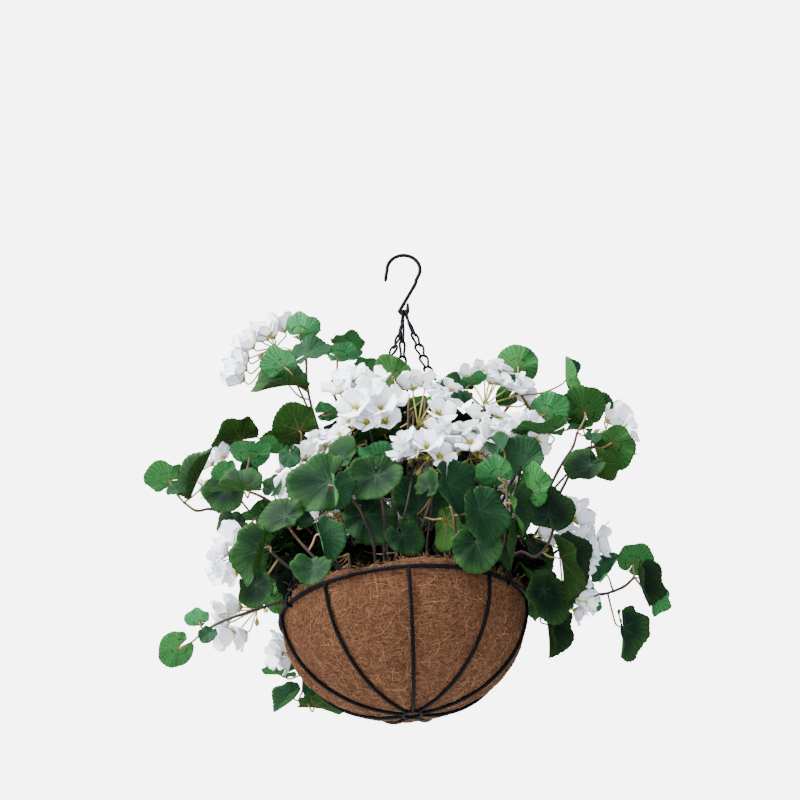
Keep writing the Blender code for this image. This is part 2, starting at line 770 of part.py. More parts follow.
def build_soil(parts, cutters, soil, holes):
    """The potting soil: it fills the liner, with a plain hole for each stem."""
    columns = BOWL_COLUMNS
    radius = LINER_RADIUS - LINER_WALL - 1.5 * GAP
    depth = LINER_DEPTH - LINER_WALL - 1.5 * GAP
    work = bmesh.new()
    turns = [2 * pi * column / columns for column in range(columns)]
    rings = []
    for fall in BOWL_FALLS:
        rings.append([work.verts.new(bowl_point(radius, depth, turn, fall)) for turn in turns])
    surface = SOIL_DROP / (depth * sin(BOWL_FALLS[1]))
    for upper, lower in zip(*rings[:2]):
        upper.co = upper.co.lerp(lower.co, surface)
    for upper, lower in zip(rings, rings[1:]):
        for column in range(columns):
            after = (column + 1) % columns
            work.faces.new((upper[column], lower[column], lower[after], upper[after]))
    work.faces.new(rings[0])
    pole = work.verts.new((0, 0, -depth))
    for column in range(columns):
        work.faces.new((pole, rings[-1][(column + 1) % columns], rings[-1][column]))
    work.transform(BASKET)
    pieces = [mesh_object(work, "soil", cutters)]
    for right, back in holes:
        drill = bmesh.new()
        bmesh.ops.create_cone(
            drill, cap_ends=True, segments=4, radius1=HOLE_RADIUS, radius2=HOLE_RADIUS, depth=2 * HOLE_DEPTH
        )
        drill.transform(BASKET @ Matrix.Translation((right * MM, back * MM, -SOIL_DROP)))
        pieces.append(mesh_object(drill, "drill", cutters))
    joined(pieces, "soil", parts, soil, operation="DIFFERENCE")


def rooted(hole, points):
    """A stem's path from the bottom of its hole, straight up out of the soil and on through the points."""
    right, back = (value * MM for value in hole)
    surface = -SOIL_DROP
    foot = in_basket(right, back, surface - HOLE_DEPTH + GAP)
    neck = in_basket(right, back, surface + 6 * MM)
    return [foot, neck, *points]


def blade_frame(middle, ahead, face, size):
    """A blade's own frame: origin where the stalk meets it, +X to its tip, +Z out of its upper face."""
    ahead = (ahead - face * ahead.dot(face)).normalized()
    frame = Matrix((ahead, face.cross(ahead), face)).transposed().to_4x4()
    frame.translation = middle - ahead * (HEART_OFFSET * size)
    return frame


def looking(faces, rise):
    """The way a face looks: towards the side faces (0 the viewer, 90 right) and up by rise, in degrees."""
    turn, up = radians(faces), radians(rise)
    return Vector((cos(up) * sin(turn), -cos(up) * cos(turn), sin(up)))


def seen_blades(leaves):
    """The frame and size of each leaf in a list of Leaf."""
    blades = []
    for leaf in leaves:
        tip = radians(leaf.tip)
        ahead = RIGHT * cos(tip) + UP * sin(tip)
        size = leaf.size * MM
        middle = seen(leaf.across, leaf.up, leaf.depth)
        blades.append((blade_frame(middle, ahead, looking(leaf.faces, leaf.rise), size), size))
    return blades


def blade_edge(size):
    """The blade's cut and pleated edge in its own frame, from one side of its notch round to the other."""
    last = 12 if size > SMALL_LEAF else 8
    edge = []
    for number in range(last + 1):
        angle = BLADE_SPREAD * (2 * number / last - 1)
        valley = number % 2
        reach = size * (HEART_OFFSET * cos(angle) + sqrt(0.25 - (HEART_OFFSET * sin(angle)) ** 2))
        reach *= 1 - LOBE_CUT * valley
        lift = size * (PLEAT * (0.5 - valley) - DROOP * cos(angle))
        edge.append(Vector((reach * cos(angle), reach * sin(angle), lift)))
    return edge


def leaf_blade(frame, size, name, collection):
    """A kidney-shaped blade that fans out from the point where its stalk meets it."""
    work = bmesh.new()
    heart = work.verts.new((0, 0, 0))
    edge = [work.verts.new(spot) for spot in blade_edge(size)]
    faces = [work.faces.new((heart, a, b)) for a, b in zip(edge, edge[1:])]
    upper = bmesh.ops.extrude_face_region(work, geom=faces)["geom"]
    raised = [item for item in upper if isinstance(item, bmesh.types.BMVert)]
    bmesh.ops.translate(work, verts=raised, vec=(0, 0, LEAF_THICKNESS))
    bmesh.ops.triangulate(work, faces=work.faces)
    work.transform(frame)
    return mesh_object(work, name, collection)


def stem_start(path, place):
    """The middle of the stem's nearest stretch above the soil."""
    middles = [(a + b) / 2 for a, b in zip(path[1:], path[2:])]
    return min(middles, key=lambda point: (point - place).length)


def leaf_stalk(path, frame, size):
    """From the stem to just under the blade beside its heart, then square into its thickness."""
    edge = blade_edge(size)
    middle = len(edge) // 2
    beside = frame @ ((edge[middle] + edge[middle + 1]) / 2 * STALK_INSET)
    face = frame.col[2].xyz
    start = stem_start(path, frame.translation)
    under = beside - face * (1.5 * PETIOLE_WIRE)
    return [start, under, beside + face * (0.5 * LEAF_THICKNESS)]


def build_spray(name, path, blades, parts, green, section):
    """A leafy stem: the stem, a stalk to each leaf and the blades, joined in one body."""
    radii = [1 - STEM_TAPER * step / (len(path) - 1) for step in range(len(path))]
    pieces = [as_mesh(wire(path, STEM_WIRE, name, parts, section=section, radii=radii))]
    for frame, size in blades:
        stalk = leaf_stalk(path, frame, size)
        stalk = wire(stalk, PETIOLE_WIRE, "stalk", parts, section=section, radii=STALK_TAPER)
        pieces.append(as_mesh(stalk))
        pieces.append(leaf_blade(frame, size, "blade", parts))
    joined(pieces, name, parts, green)


def floret(place, facing, base, name, collection):
    """Five petals in a shallow cup, drawn in to a calyx and on down a pedicel to the umbel's base."""
    petals = 5
    frame = Matrix.Translation(place) @ facing.to_track_quat("Z", "Y").to_matrix().to_4x4()
    work = bmesh.new()
    middle = work.verts.new(frame.translation)
    edge = []
    for number in range(3 * petals):
        angle = 2 * pi * number / (3 * petals)
        share = PETAL_CUT if number % 3 == 0 else 1
        reach = share * FLORET_SIZE / 2
        spot = Vector((reach * cos(angle), reach * sin(angle), share * FLORET_CUP))
        edge.append(work.verts.new(frame @ spot))
    calyx = place - facing * CALYX_DEPTH
    stalk = (base - calyx).normalized().to_track_quat("Z", "Y").to_matrix()
    rings = []
    for end, share in ((calyx, 1), (base, 0.4)):
        ring = []
        for number in range(3):
            angle = 2 * pi * number / 3
            spot = Vector((cos(angle), sin(angle), 0)) * (share * PEDICEL_WIRE / 2)
            ring.append(work.verts.new(end + stalk @ spot))
        rings.append(ring)
    turns = [frame.inverted() @ vert.co for vert in rings[0]]
    turns = [atan2(spot.y, spot.x) for spot in turns]
    near = []
    for number in range(3 * petals):
        angle = 2 * pi * number / (3 * petals)
        near.append(min(range(3), key=lambda k: abs((turns[k] - angle + pi) % (2 * pi) - pi)))
    for number in range(3 * petals):
        after = (number + 1) % (3 * petals)
        work.faces.new((middle, edge[number], edge[after]))
        work.faces.new((edge[after], edge[number], rings[0][near[number]]))
        if near[number] != near[after]:
            work.faces.new((edge[after], rings[0][near[number]], rings[0][near[after]]))
    for number in range(3):
        after = (number + 1) % 3
        work.faces.new((rings[0][number], rings[0][after], rings[1][after], rings[1][number]))
    work.faces.new(rings[1])
    bmesh.ops.triangulate(work, faces=work.faces)
    return mesh_object(work, name, collection)


def build_bloom(name, path, places, parts, white, section):
    """An umbel: a bare stem with a pedicel to each floret, joined in one body."""
    crown = RIM_CENTRE + Vector((0, 0, CROWN_HEIGHT))
    down = (path[-2] - path[-1]).normalized()
    pieces = [as_mesh(wire(path, PEDUNCLE_WIRE, name, parts, section=section))]
    for number, place in enumerate(places):
        base = path[-1] + down * (MM + number * UMBEL_STEP)
        facing = (place - base).normalized() + CROWN_PULL * (place - crown).normalized()
        pieces.append(floret(place, facing.normalized(), base, name + "_floret", parts))
    joined(pieces, name, parts, white)


def rear_hole(azimuth, reach):
    """A hole in the soil on the far side, (right, back) in mm."""
    turn = radians(azimuth)
    return (reach * sin(turn), -reach * cos(turn))


def rear_stem(azimuth, reach, height):
    """A stem's points on the far side: up, out over the lip and a little down at the tip."""
    return [around(azimuth, reach * out, height * rise) for out, rise in ((0.55, 0.8), (0.8, 1.05), (1, 1))]


def rear_blades(stem, azimuth):
    """Leaves at both sides of a stem on the far side, their faces turned out and up."""
    blades = []
    for number in range(REAR_LEAVES):
        side = (-1) ** number
        share = number / (REAR_LEAVES - 1)
        start = stem[0].lerp(stem[-1], share)
        swing = radians(azimuth + side * (60 - 30 * share))
        ahead = Vector((sin(swing), -cos(swing), 0.1 * side))
        size = (62 - 16 * share) * MM
        face = looking(azimuth + 25 * side, 40 + 12 * side)
        blades.append((blade_frame(start + ahead * (30 * MM + size / 2), ahead, face, size), size))
    return blades


def rear_florets(base, azimuth):
    """Floret places on a dome round the end of a stem on the far side."""
    outward = looking(azimuth, 45)
    turn = outward.orthogonal().normalized()
    places = [base + outward * UMBEL_RADIUS]
    for number in range(REAR_FLORETS - 1):
        around_axis = Matrix.Rotation(2 * pi * number / (REAR_FLORETS - 1), 3, outward)
        places.append(base + (outward * 0.45 + around_axis @ turn * 0.9) * UMBEL_RADIUS)
    return places


def main():
    clear_scene()
    parts = new_collection("geranium_hanging_basket")
    cutters = new_collection("cutters", hidden=True)
    steel = plain_material("black_coated_steel", (0.02, 0.022, 0.026), 0.45, 0.6)
    coco = plain_material("coco_fibre", (0.30, 0.16, 0.07), 0.95)
    soil = plain_material("potting_soil", (0.05, 0.035, 0.025), 1.0)
    green = plain_material("leaf_green", (0.06, 0.22, 0.07), 0.6)
    white = plain_material("petal_white", (0.86, 0.87, 0.92), 0.6)
    basket = bpy.data.objects.new("basket_tilt", None)
    cutters.objects.link(basket)
    basket.matrix_world = BASKET
    corners = [Vector((cos(angle), sin(angle), 0)) * MM for angle in (0, 2 * pi / 3, 4 * pi / 3)]
    section = wire(corners, 0, "three_sided_section", cutters, cyclic=True)
    section.hide_render = True
    section.display_type = "WIRE"

    build_hook(parts, steel)
    for name, azimuth in CHAIN_AZIMUTHS.items():
        build_chain(name, azimuth, parts, steel, section)
    build_frame(parts, steel, basket)
    build_liner(parts, cutters, coco, basket)

    holes = [plant.hole for plant in (*SPRAYS.values(), *BLOOMS.values())]
    for name, spray in SPRAYS.items():
        path = rooted(spray.hole, [seen(*point) for point in spray.stem])
        build_spray(name, path, seen_blades(spray.leaves), parts, green, section)
    for name, bloom in BLOOMS.items():
        path = rooted(bloom.hole, [seen(*point) for point in bloom.stem])
        build_bloom(name, path, [seen(*place) for place in bloom.florets], parts, white, section)
    for name, (azimuth, reach, height) in REAR_SPRAYS.items():
        holes.append(rear_hole(azimuth, REAR_SPRAY_HOLE))
        stem = rear_stem(azimuth, reach, height)
        path = rooted(holes[-1], stem)
        build_spray(name, path, rear_blades(stem, azimuth), parts, green, section)
    for name, (azimuth, reach, height) in REAR_BLOOMS.items():
        holes.append(rear_hole(azimuth, REAR_BLOOM_HOLE))
        stem = rear_stem(azimuth, reach, height)
        path = rooted(holes[-1], stem)
        build_bloom(name, path, rear_florets(stem[-1], azimuth), parts, white, section)
    build_soil(parts, cutters, soil, holes)


main()
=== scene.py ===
"""The look of the geranium hanging basket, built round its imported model. Metres, +Z up, -Y towards the viewer."""

import json
import random
from collections import namedtuple
from math import atan2, cos, degrees, e as math_e, pi, radians, sin, sqrt

import bpy
import numpy as np
from mathutils import Matrix, Vector, noise

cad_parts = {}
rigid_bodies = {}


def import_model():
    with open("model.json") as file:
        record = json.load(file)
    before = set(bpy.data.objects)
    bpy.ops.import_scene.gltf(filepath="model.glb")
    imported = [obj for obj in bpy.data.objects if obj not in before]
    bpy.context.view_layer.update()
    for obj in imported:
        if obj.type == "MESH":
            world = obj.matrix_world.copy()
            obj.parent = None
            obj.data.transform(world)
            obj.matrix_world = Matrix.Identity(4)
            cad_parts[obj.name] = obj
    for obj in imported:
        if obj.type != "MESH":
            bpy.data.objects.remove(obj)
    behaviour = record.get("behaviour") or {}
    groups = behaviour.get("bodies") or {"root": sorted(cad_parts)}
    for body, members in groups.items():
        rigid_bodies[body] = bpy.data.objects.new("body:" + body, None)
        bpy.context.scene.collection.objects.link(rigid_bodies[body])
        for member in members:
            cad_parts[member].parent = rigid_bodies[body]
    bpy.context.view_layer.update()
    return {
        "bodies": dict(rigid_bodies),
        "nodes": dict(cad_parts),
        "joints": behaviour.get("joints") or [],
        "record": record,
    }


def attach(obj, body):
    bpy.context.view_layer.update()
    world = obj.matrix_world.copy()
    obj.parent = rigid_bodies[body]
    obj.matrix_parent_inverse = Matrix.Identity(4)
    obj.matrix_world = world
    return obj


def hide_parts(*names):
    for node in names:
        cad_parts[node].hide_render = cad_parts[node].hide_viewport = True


MM = 0.001
GAP = 0.3 * MM

RIM_RADIUS = 150 * MM
RIM_WIRE = 5.0 * MM
RIM_DROP = 503 * MM
BASKET_TILT = radians(4.5)
BOWL_DEPTH = 127 * MM
RIB_WIRE = 4.2 * MM
RIB_COUNT = 9
RIB_START = radians(2)
BASE_RING_RADIUS = 11 * MM
LINER_RADIUS = RIM_RADIUS - RIM_WIRE / 2 - 1 * MM
LINER_DEPTH = BOWL_DEPTH - RIB_WIRE / 2 - GAP
LINER_WALL = 8 * MM
LINER_LIP = 10 * MM
LIP_WAVE = 2.5 * MM
LONG_FIBRE = 1.9
SOIL_DROP = 12 * MM

HOOK_WIRE = 3.4 * MM
COATING = 0.7 * MM
CROOK_RADIUS = 21.4 * MM
EYE_RADIUS = 5.0 * MM
EYE_CENTRE = Vector((0.3, 0, -82)) * MM
HOOK_TIP = Vector((-23.5, 0, -38)) * MM
HOOK_SHANK = Vector((14.5, 0, -43.5)) * MM
HOOK_END = Vector((5.3, 0, -71)) * MM
SEAT_SPREAD = 0.78
CHAIN_WIRE = 1.9 * MM
WINDING = 4 * MM
LINK_PITCH = 19.7 * MM
LINK_HALF_WIDTH = 5.4 * MM
CHAIN_AZIMUTHS = {"left": radians(-65), "right": radians(56), "back": radians(176)}
CHAIN_TWISTS = {"left": radians(-50), "right": radians(75), "back": radians(55)}
CHAIN_BOW = {"left": 8 * MM, "right": 0, "back": -3 * MM}
CHAIN_NEAR = 0.12
RIM_LOOP = [(0.8, 2.2), (1, 0), (0.75, -0.85), (-0.75, -0.85), (-1, 0), (-0.8, 2.2), (0, 3.4)]

STEM_WIRE = 4.0 * MM
PETIOLE_WIRE = 1.9 * MM
PEDICEL_WIRE = 1.5 * MM
PEDUNCLE_WIRE = 3.2 * MM
HOLE_DEPTH = 22 * MM
FLORET_SIZE = 41 * MM
HEART_OFFSET = 0.12
CROWN_HEIGHT = 100 * MM
CROWN_PULL = 0.8
FACING_PULL = 1.3
UMBEL_STEP = 1.2 * MM

VIEWER = Vector((-4.6, -2673, -1573)) * MM
LOOK_UP = radians(27)
RIGHT = Vector((1, 0, 0))
UP = Vector((0, -sin(LOOK_UP), cos(LOOK_UP)))
RIM_CENTRE = Vector((0, 0, -RIM_DROP))
BASKET = Matrix.Translation(RIM_CENTRE) @ Matrix.Rotation(-BASKET_TILT, 4, "Y")

# A stem's hole is (right, back) in the basket, in mm. Every other place is (across, up, depth) in mm:
# right of and above the rim's centre as the viewer sees it, and behind the basket's axis.
# A leaf adds its size in mm, four angles: where its tip points as seen (0 right, 90 up), the side
# that its upper face looks to (0 the viewer, 90 right, 180 away), how far that face looks up, and
# how far its halves fold up along the midrib. Tone 0 is dark and 1 light, partly the leaf's own colour
# and partly painted light and shade set by how the light falls on it; below 0 it paints shade and
# above 1 the glow of light shining through the leaf. Without a tone a small leaf is light and a large
# one dark. A floret may end with its size in mm; a bloom may say which side and how far up its florets
# turn, as a leaf does, and how deep they are cupped.
Leaf = namedtuple("Leaf", "across up depth size tip faces rise fold tone", defaults=(12, None))
Spray = namedtuple("Spray", "hole stem leaves")
Bloom = namedtuple("Bloom", "hole stem florets faces cup", defaults=(None, 0.12))

SPRAYS = {
    "spray_far_left": Spray(
        hole=(-70, 0),
        stem=[(-172, 91, 0), (-204, 115, -5), (-232, 128, -8), (-251, 126, -10), (-266, 136, -10)],
        leaves=[
            Leaf(-290, 165, -5, 55, 150, 180, 75, 12, 0.9),
            Leaf(-247, 169, -28, 71, 70, -58, 10, 50, -0.15),
            Leaf(-278, 150, -18, 21, 200, 0, 30, 12, 0.9),
        ],
    ),
    "spray_left_upper": Spray(
        hole=(-35, 10),
        stem=[
            (-68, 115, 14), (-80, 175, 16), (-89, 204, 15), (-111, 208, 14),
            (-138, 200, 12), (-167, 204, 14),
        ],
        leaves=[
            Leaf(-134, 226, -8, 68, 150, 200, 48, 22, 0),
            Leaf(-146, 208, 34, 68, 180, 0, 84),
            Leaf(-203, 212, 30, 66, 160, 225, 62, 30, -0.15),
            Leaf(-138, 191, -78, 30, 270, 0, 0, 12, 1.3),
        ],
    ),
    "spray_left_middle": Spray(
        hole=(-60, -35),
        stem=[
            (-101, 85, -50), (-138, 121, -56), (-170, 142, -60), (-190, 151, -60),
            (-195, 161, -58),
        ],
        leaves=[
            Leaf(-186, 196, -50, 54, 80, 180, 70, 12, 1.3),
            Leaf(-164, 200, -12, 39, 20, 180, 85),
            Leaf(-218, 172, -72, 33, 160, 180, 60, 12, 1.2),
            Leaf(-216, 149, -46, 58, 250, -20, 0),
            Leaf(-202, 151, -95, 69, 170, 0, 46, 40, 0.2),
            Leaf(-187, 171, -32, 33, 90, 30, 0),
        ],
    ),
    "spray_left_lower": Spray(
        hole=(-85, -50),
        stem=[
            (-126, 48, -72), (-147, 64, -80), (-164, 81, -85), (-174, 100, -86),
            (-179, 117, -84),
        ],
        leaves=[
            Leaf(-173, 72, -120, 76, 265, -50, 0, 38, 0),
            Leaf(-208, 110, -50, 41, 200, 0, 20, 12, -0.45),
            Leaf(-179, 31, -58, 49, 280, -20, 0, 12, -0.25),
        ],
    ),
    "spray_left_front": Spray(
        hole=(-55, -80),
        stem=[(-82, 59, -110), (-101, 64, -126), (-120, 82, -130), (-135, 100, -130)],
        leaves=[
            Leaf(-150, 121, -130, 58, 150, -10, 20, 12, 0.1),
            Leaf(-99, 91, -150, 60, 270, 32, 8, 52, 0.8),
            Leaf(-113, 54, -158, 48, 250, 0, 25, 12, 0.3),
            Leaf(-157, 155, -84, 31, 90, -30, 0, 12, 0.3),
        ],
    ),
    "spray_top_left": Spray(
        hole=(-25, 35),
        stem=[
            (-68, 133, 40), (-94, 200, 46), (-109, 242, 46), (-117, 278, 44),
            (-118, 306, 42), (-120, 325, 40),
        ],
        leaves=[
            Leaf(-121, 343, 22, 52, 45, 180, 70, 25, 1.7),
            Leaf(-113, 318, 8, 58, 35, -20, 25, 20, 0.9),
            Leaf(-151, 302, -44, 51, 160, 180, 66, 12, 1.5),
            Leaf(-148, 278, -14, 76, 195, 0, 40, 40),
        ],
    ),
    "spray_top_middle": Spray(
        hole=(-5, 45),
        stem=[(-43, 133, 66), (-63, 206, 76), (-81, 258, 78), (-88, 277, 76), (-81, 294, 72)],
        leaves=[
            Leaf(-68, 331, 98, 50, 20, 180, 90, 12, 1.1),
            Leaf(-73, 314, 58, 50, 5, 180, 86, 12, 1.8),
            Leaf(-45, 300, 86, 38, 0, 180, 75, 12, 1.3),
            Leaf(-92, 246, 74, 36, 20, 180, 70, 12, 1.4),
        ],
    ),
    "spray_top_centre": Spray(
        hole=(10, 25),
        stem=[(-9, 115, 34), (-14, 194, 38), (-15, 242, 18), (-12, 272, -14)],
        leaves=[
            Leaf(-15, 292, -30, 60, 115, 165, 0, 30, 0.35),
            Leaf(-31, 219, 14, 70, 180, 0, 87, 12, 0.3),
        ],
    ),
    "spray_low_left": Spray(
        hole=(-95, 15),
        stem=[
            (-123, 18, 20), (-150, 15, 20), (-178, 7, 20), (-198, 0, 16),
            (-220, -8, 14), (-241, -19, 10),
        ],
        leaves=[
            Leaf(-276, -42, 0, 46, 220, 180, 45),
            Leaf(-251, -6, -2, 31, 140, 180, 60, 12, 1.6),
            Leaf(-237, -24, -4, 24, 240, 0, 10, 12, 1.2),
        ],
    ),
    "spray_low_behind": Spray(
        hole=(-60, 92),
        stem=[
            (-82, -30, 104), (-101, -33, 130), (-115, -47, 156), (-121, -70, 168),
            (-122, -91, 172),
        ],
        leaves=[
            Leaf(-150, -70, 196, 46, 180, 180, 76),
            Leaf(-138, -105, 166, 50, 215, -40, 25, 45),
            Leaf(-101, -111, 184, 64, -10, 180, 87, 12, 0.1),
            Leaf(-112, -87, 152, 24, 270, 0, 0),
        ],
    ),
    "spray_front_left": Spray(
        hole=(-20, -70),
        stem=[(-34, 64, -86), (-36, 88, -96), (-45, 109, -106), (-54, 129, -114), (-68, 146, -120)],
        leaves=[
            Leaf(-99, 157, -126, 82, 215, -10, 0, 12, 0.25),
            Leaf(-83, 150, -152, 50, 255, 50, 0, 40, 1.0),
            Leaf(-41, 115, -68, 70, 300, 10, 0),
            Leaf(-122, 115, -112, 27, 60, 0, 0),
        ],
    ),
    "spray_front_middle": Spray(
        hole=(5, -60),
        stem=[(-22, 67, -70), (-22, 100, -86), (-25, 129, -102), (-29, 149, -112)],
        leaves=[
            Leaf(-35, 163, -126, 70, 265, 0, 18),
            Leaf(-29, 191, -58, 58, 90, 180, 76, 12, 1.8),
            Leaf(-74, 196, -102, 46, 100, -30, 0, 12, 0.3),
        ],
    ),
    "spray_front_centre": Spray(
        hole=(25, -65),
        stem=[(10, 67, -78), (18, 93, -94), (28, 125, -108), (34, 143, -112)],
        leaves=[
            Leaf(18, 139, -50, 76, 80, 15, 0, 12, 0.5),
            Leaf(1, 93, -104, 48, 300, 0, 0, 12, 0.3),
            Leaf(52, 105, -120, 58, 280, 135, 12, 20, 0.0),
            Leaf(32, 159, -122, 39, 90, -40, 0, 12, 0.0),
        ],
    ),
    "spray_front_right": Spray(
        hole=(50, -75),
        stem=[(63, 62, -108), (63, 88, -126), (61, 115, -136), (57, 132, -140)],
        leaves=[
            Leaf(58, 148, -144, 86, 284, 46, 0, 34, 0.9),
            Leaf(95, 119, -154, 76, 287, 32, 0, 30, 0.6),
            Leaf(90, 82, -142, 63, 285, 0, 8),
        ],
    ),
    "spray_right_front": Spray(
        hole=(75, -75),
        stem=[(116, 71, -112), (124, 103, -120), (125, 133, -122), (124, 159, -120)],
        leaves=[
            Leaf(109, 169, -126, 48, 150, 180, 55, 25, 1.3),
            Leaf(133, 126, -138, 69, 280, 68, 0, 22, 0.3),
            Leaf(135, 87, -117, 65, 270, -60, 0, 45, -0.4),
            Leaf(116, 207, -126, 33, 110, -40, 0),
        ],
    ),
    "spray_right_middle": Spray(
        hole=(70, -30),
        stem=[(126, 73, -46), (141, 113, -58), (150, 142, -66)],
        leaves=[
            Leaf(156, 157, -116, 54, 80, 140, 18, 25, 1.1),
            Leaf(141, 190, -104, 60, 100, -10, -5, 12, 1.1),
        ],
    ),
    "spray_right_lower": Spray(
        hole=(92, -52),
        stem=[(135, 74, -78), (159, 70, -90), (174, 85, -90), (181, 103, -88)],
        leaves=[
            Leaf(176, 129, -100, 64, 80, 10, 0, 12, -0.5),
            Leaf(193, 57, -96, 92, 293, 68, 0, 50, -0.6),
        ],
    ),
    "spray_right_side": Spray(
        hole=(100, -24),
        stem=[(147, 50, -28), (165, 56, -44), (176, 48, -58), (178, 33, -64)],
        leaves=[
            Leaf(171, 21, -72, 68, 265, 38, 0, 12, -0.25),
            Leaf(176, -20, -12, 70, 268, 62, 0, 42, -0.55),
        ],
    ),
    "spray_top_right": Spray(
        hole=(35, 40),
        stem=[
            (51, 115, 46), (78, 188, 42), (104, 224, 32), (125, 250, 26),
            (135, 265, 22), (137, 282, 20),
        ],
        leaves=[
            Leaf(138, 306, 34, 56, 90, 180, 12, 12, 0.75),
            Leaf(125, 263, 40, 34, 230, 180, 60),
            Leaf(86, 283, -46, 38, 24, 280, 74, 12, 1.4),
            Leaf(64, 274, 40, 48, 170, 0, -15),
        ],
    ),
    "spray_upper_right": Spray(
        hole=(60, 5),
        stem=[
            (97, 91, 0), (129, 157, -8), (150, 202, -12), (159, 229, -14),
            (153, 248, -14), (142, 266, -12),
        ],
        leaves=[
            Leaf(176, 246, -6, 54, 30, 180, 28, 12, 1.4),
            Leaf(164, 221, -100, 74, 170, 0, 82, 12, 0.5),
            Leaf(196, 290, 0, 50, 108, 82, 0, 50),
            Leaf(236, 258, 30, 38, 100, 40, 0, 12, 0.3),
        ],
    ),
    "spray_far_right_upper": Spray(
        hole=(85, 20),
        stem=[
            (133, 79, 16), (171, 144, 12), (187, 175, 10), (196, 190, 8),
            (205, 204, 6), (210, 221, 5),
        ],
        leaves=[
            Leaf(216, 252, 0, 62, 110, 180, 40, 12, 0.4),
            Leaf(211, 226, 30, 44, 190, 0, 80),
        ],
    ),
    "spray_far_right": Spray(
        hole=(92, -2),
        stem=[
            (143, 73, -16), (183, 137, -20), (202, 173, -22), (213, 195, -22),
            (225, 203, -22), (236, 201, -22),
        ],
        leaves=[
            Leaf(255, 202, -22, 56, 300, 165, 40, 12, 0.4),
            Leaf(241, 180, -38, 46, 300, 180, 55, 30, 0.1),
            Leaf(219, 181, -50, 56, 200, 0, 25, 12, 0),
            Leaf(229, 215, -36, 24, 70, 0, 20),
        ],
    ),
    "spray_low_right": Spray(
        hole=(110, 8),
        stem=[(161, 38, 10), (191, 34, 6), (214, 28, 2), (240, 25, 0), (266, 34, 0), (279, 46, 0)],
        leaves=[
            Leaf(248, 54, 2, 48, 80, -45, 15, 35, 2),
            Leaf(281, 67, 6, 46, 60, 180, 40),
            Leaf(287, 37, -16, 64, 275, 55, 0, 34, -0.55),
            Leaf(303, 17, 14, 43, 290, 130, 10, 40, 1.2),
            Leaf(268, -23, -12, 68, 270, 50, 0),
        ],
    ),
}
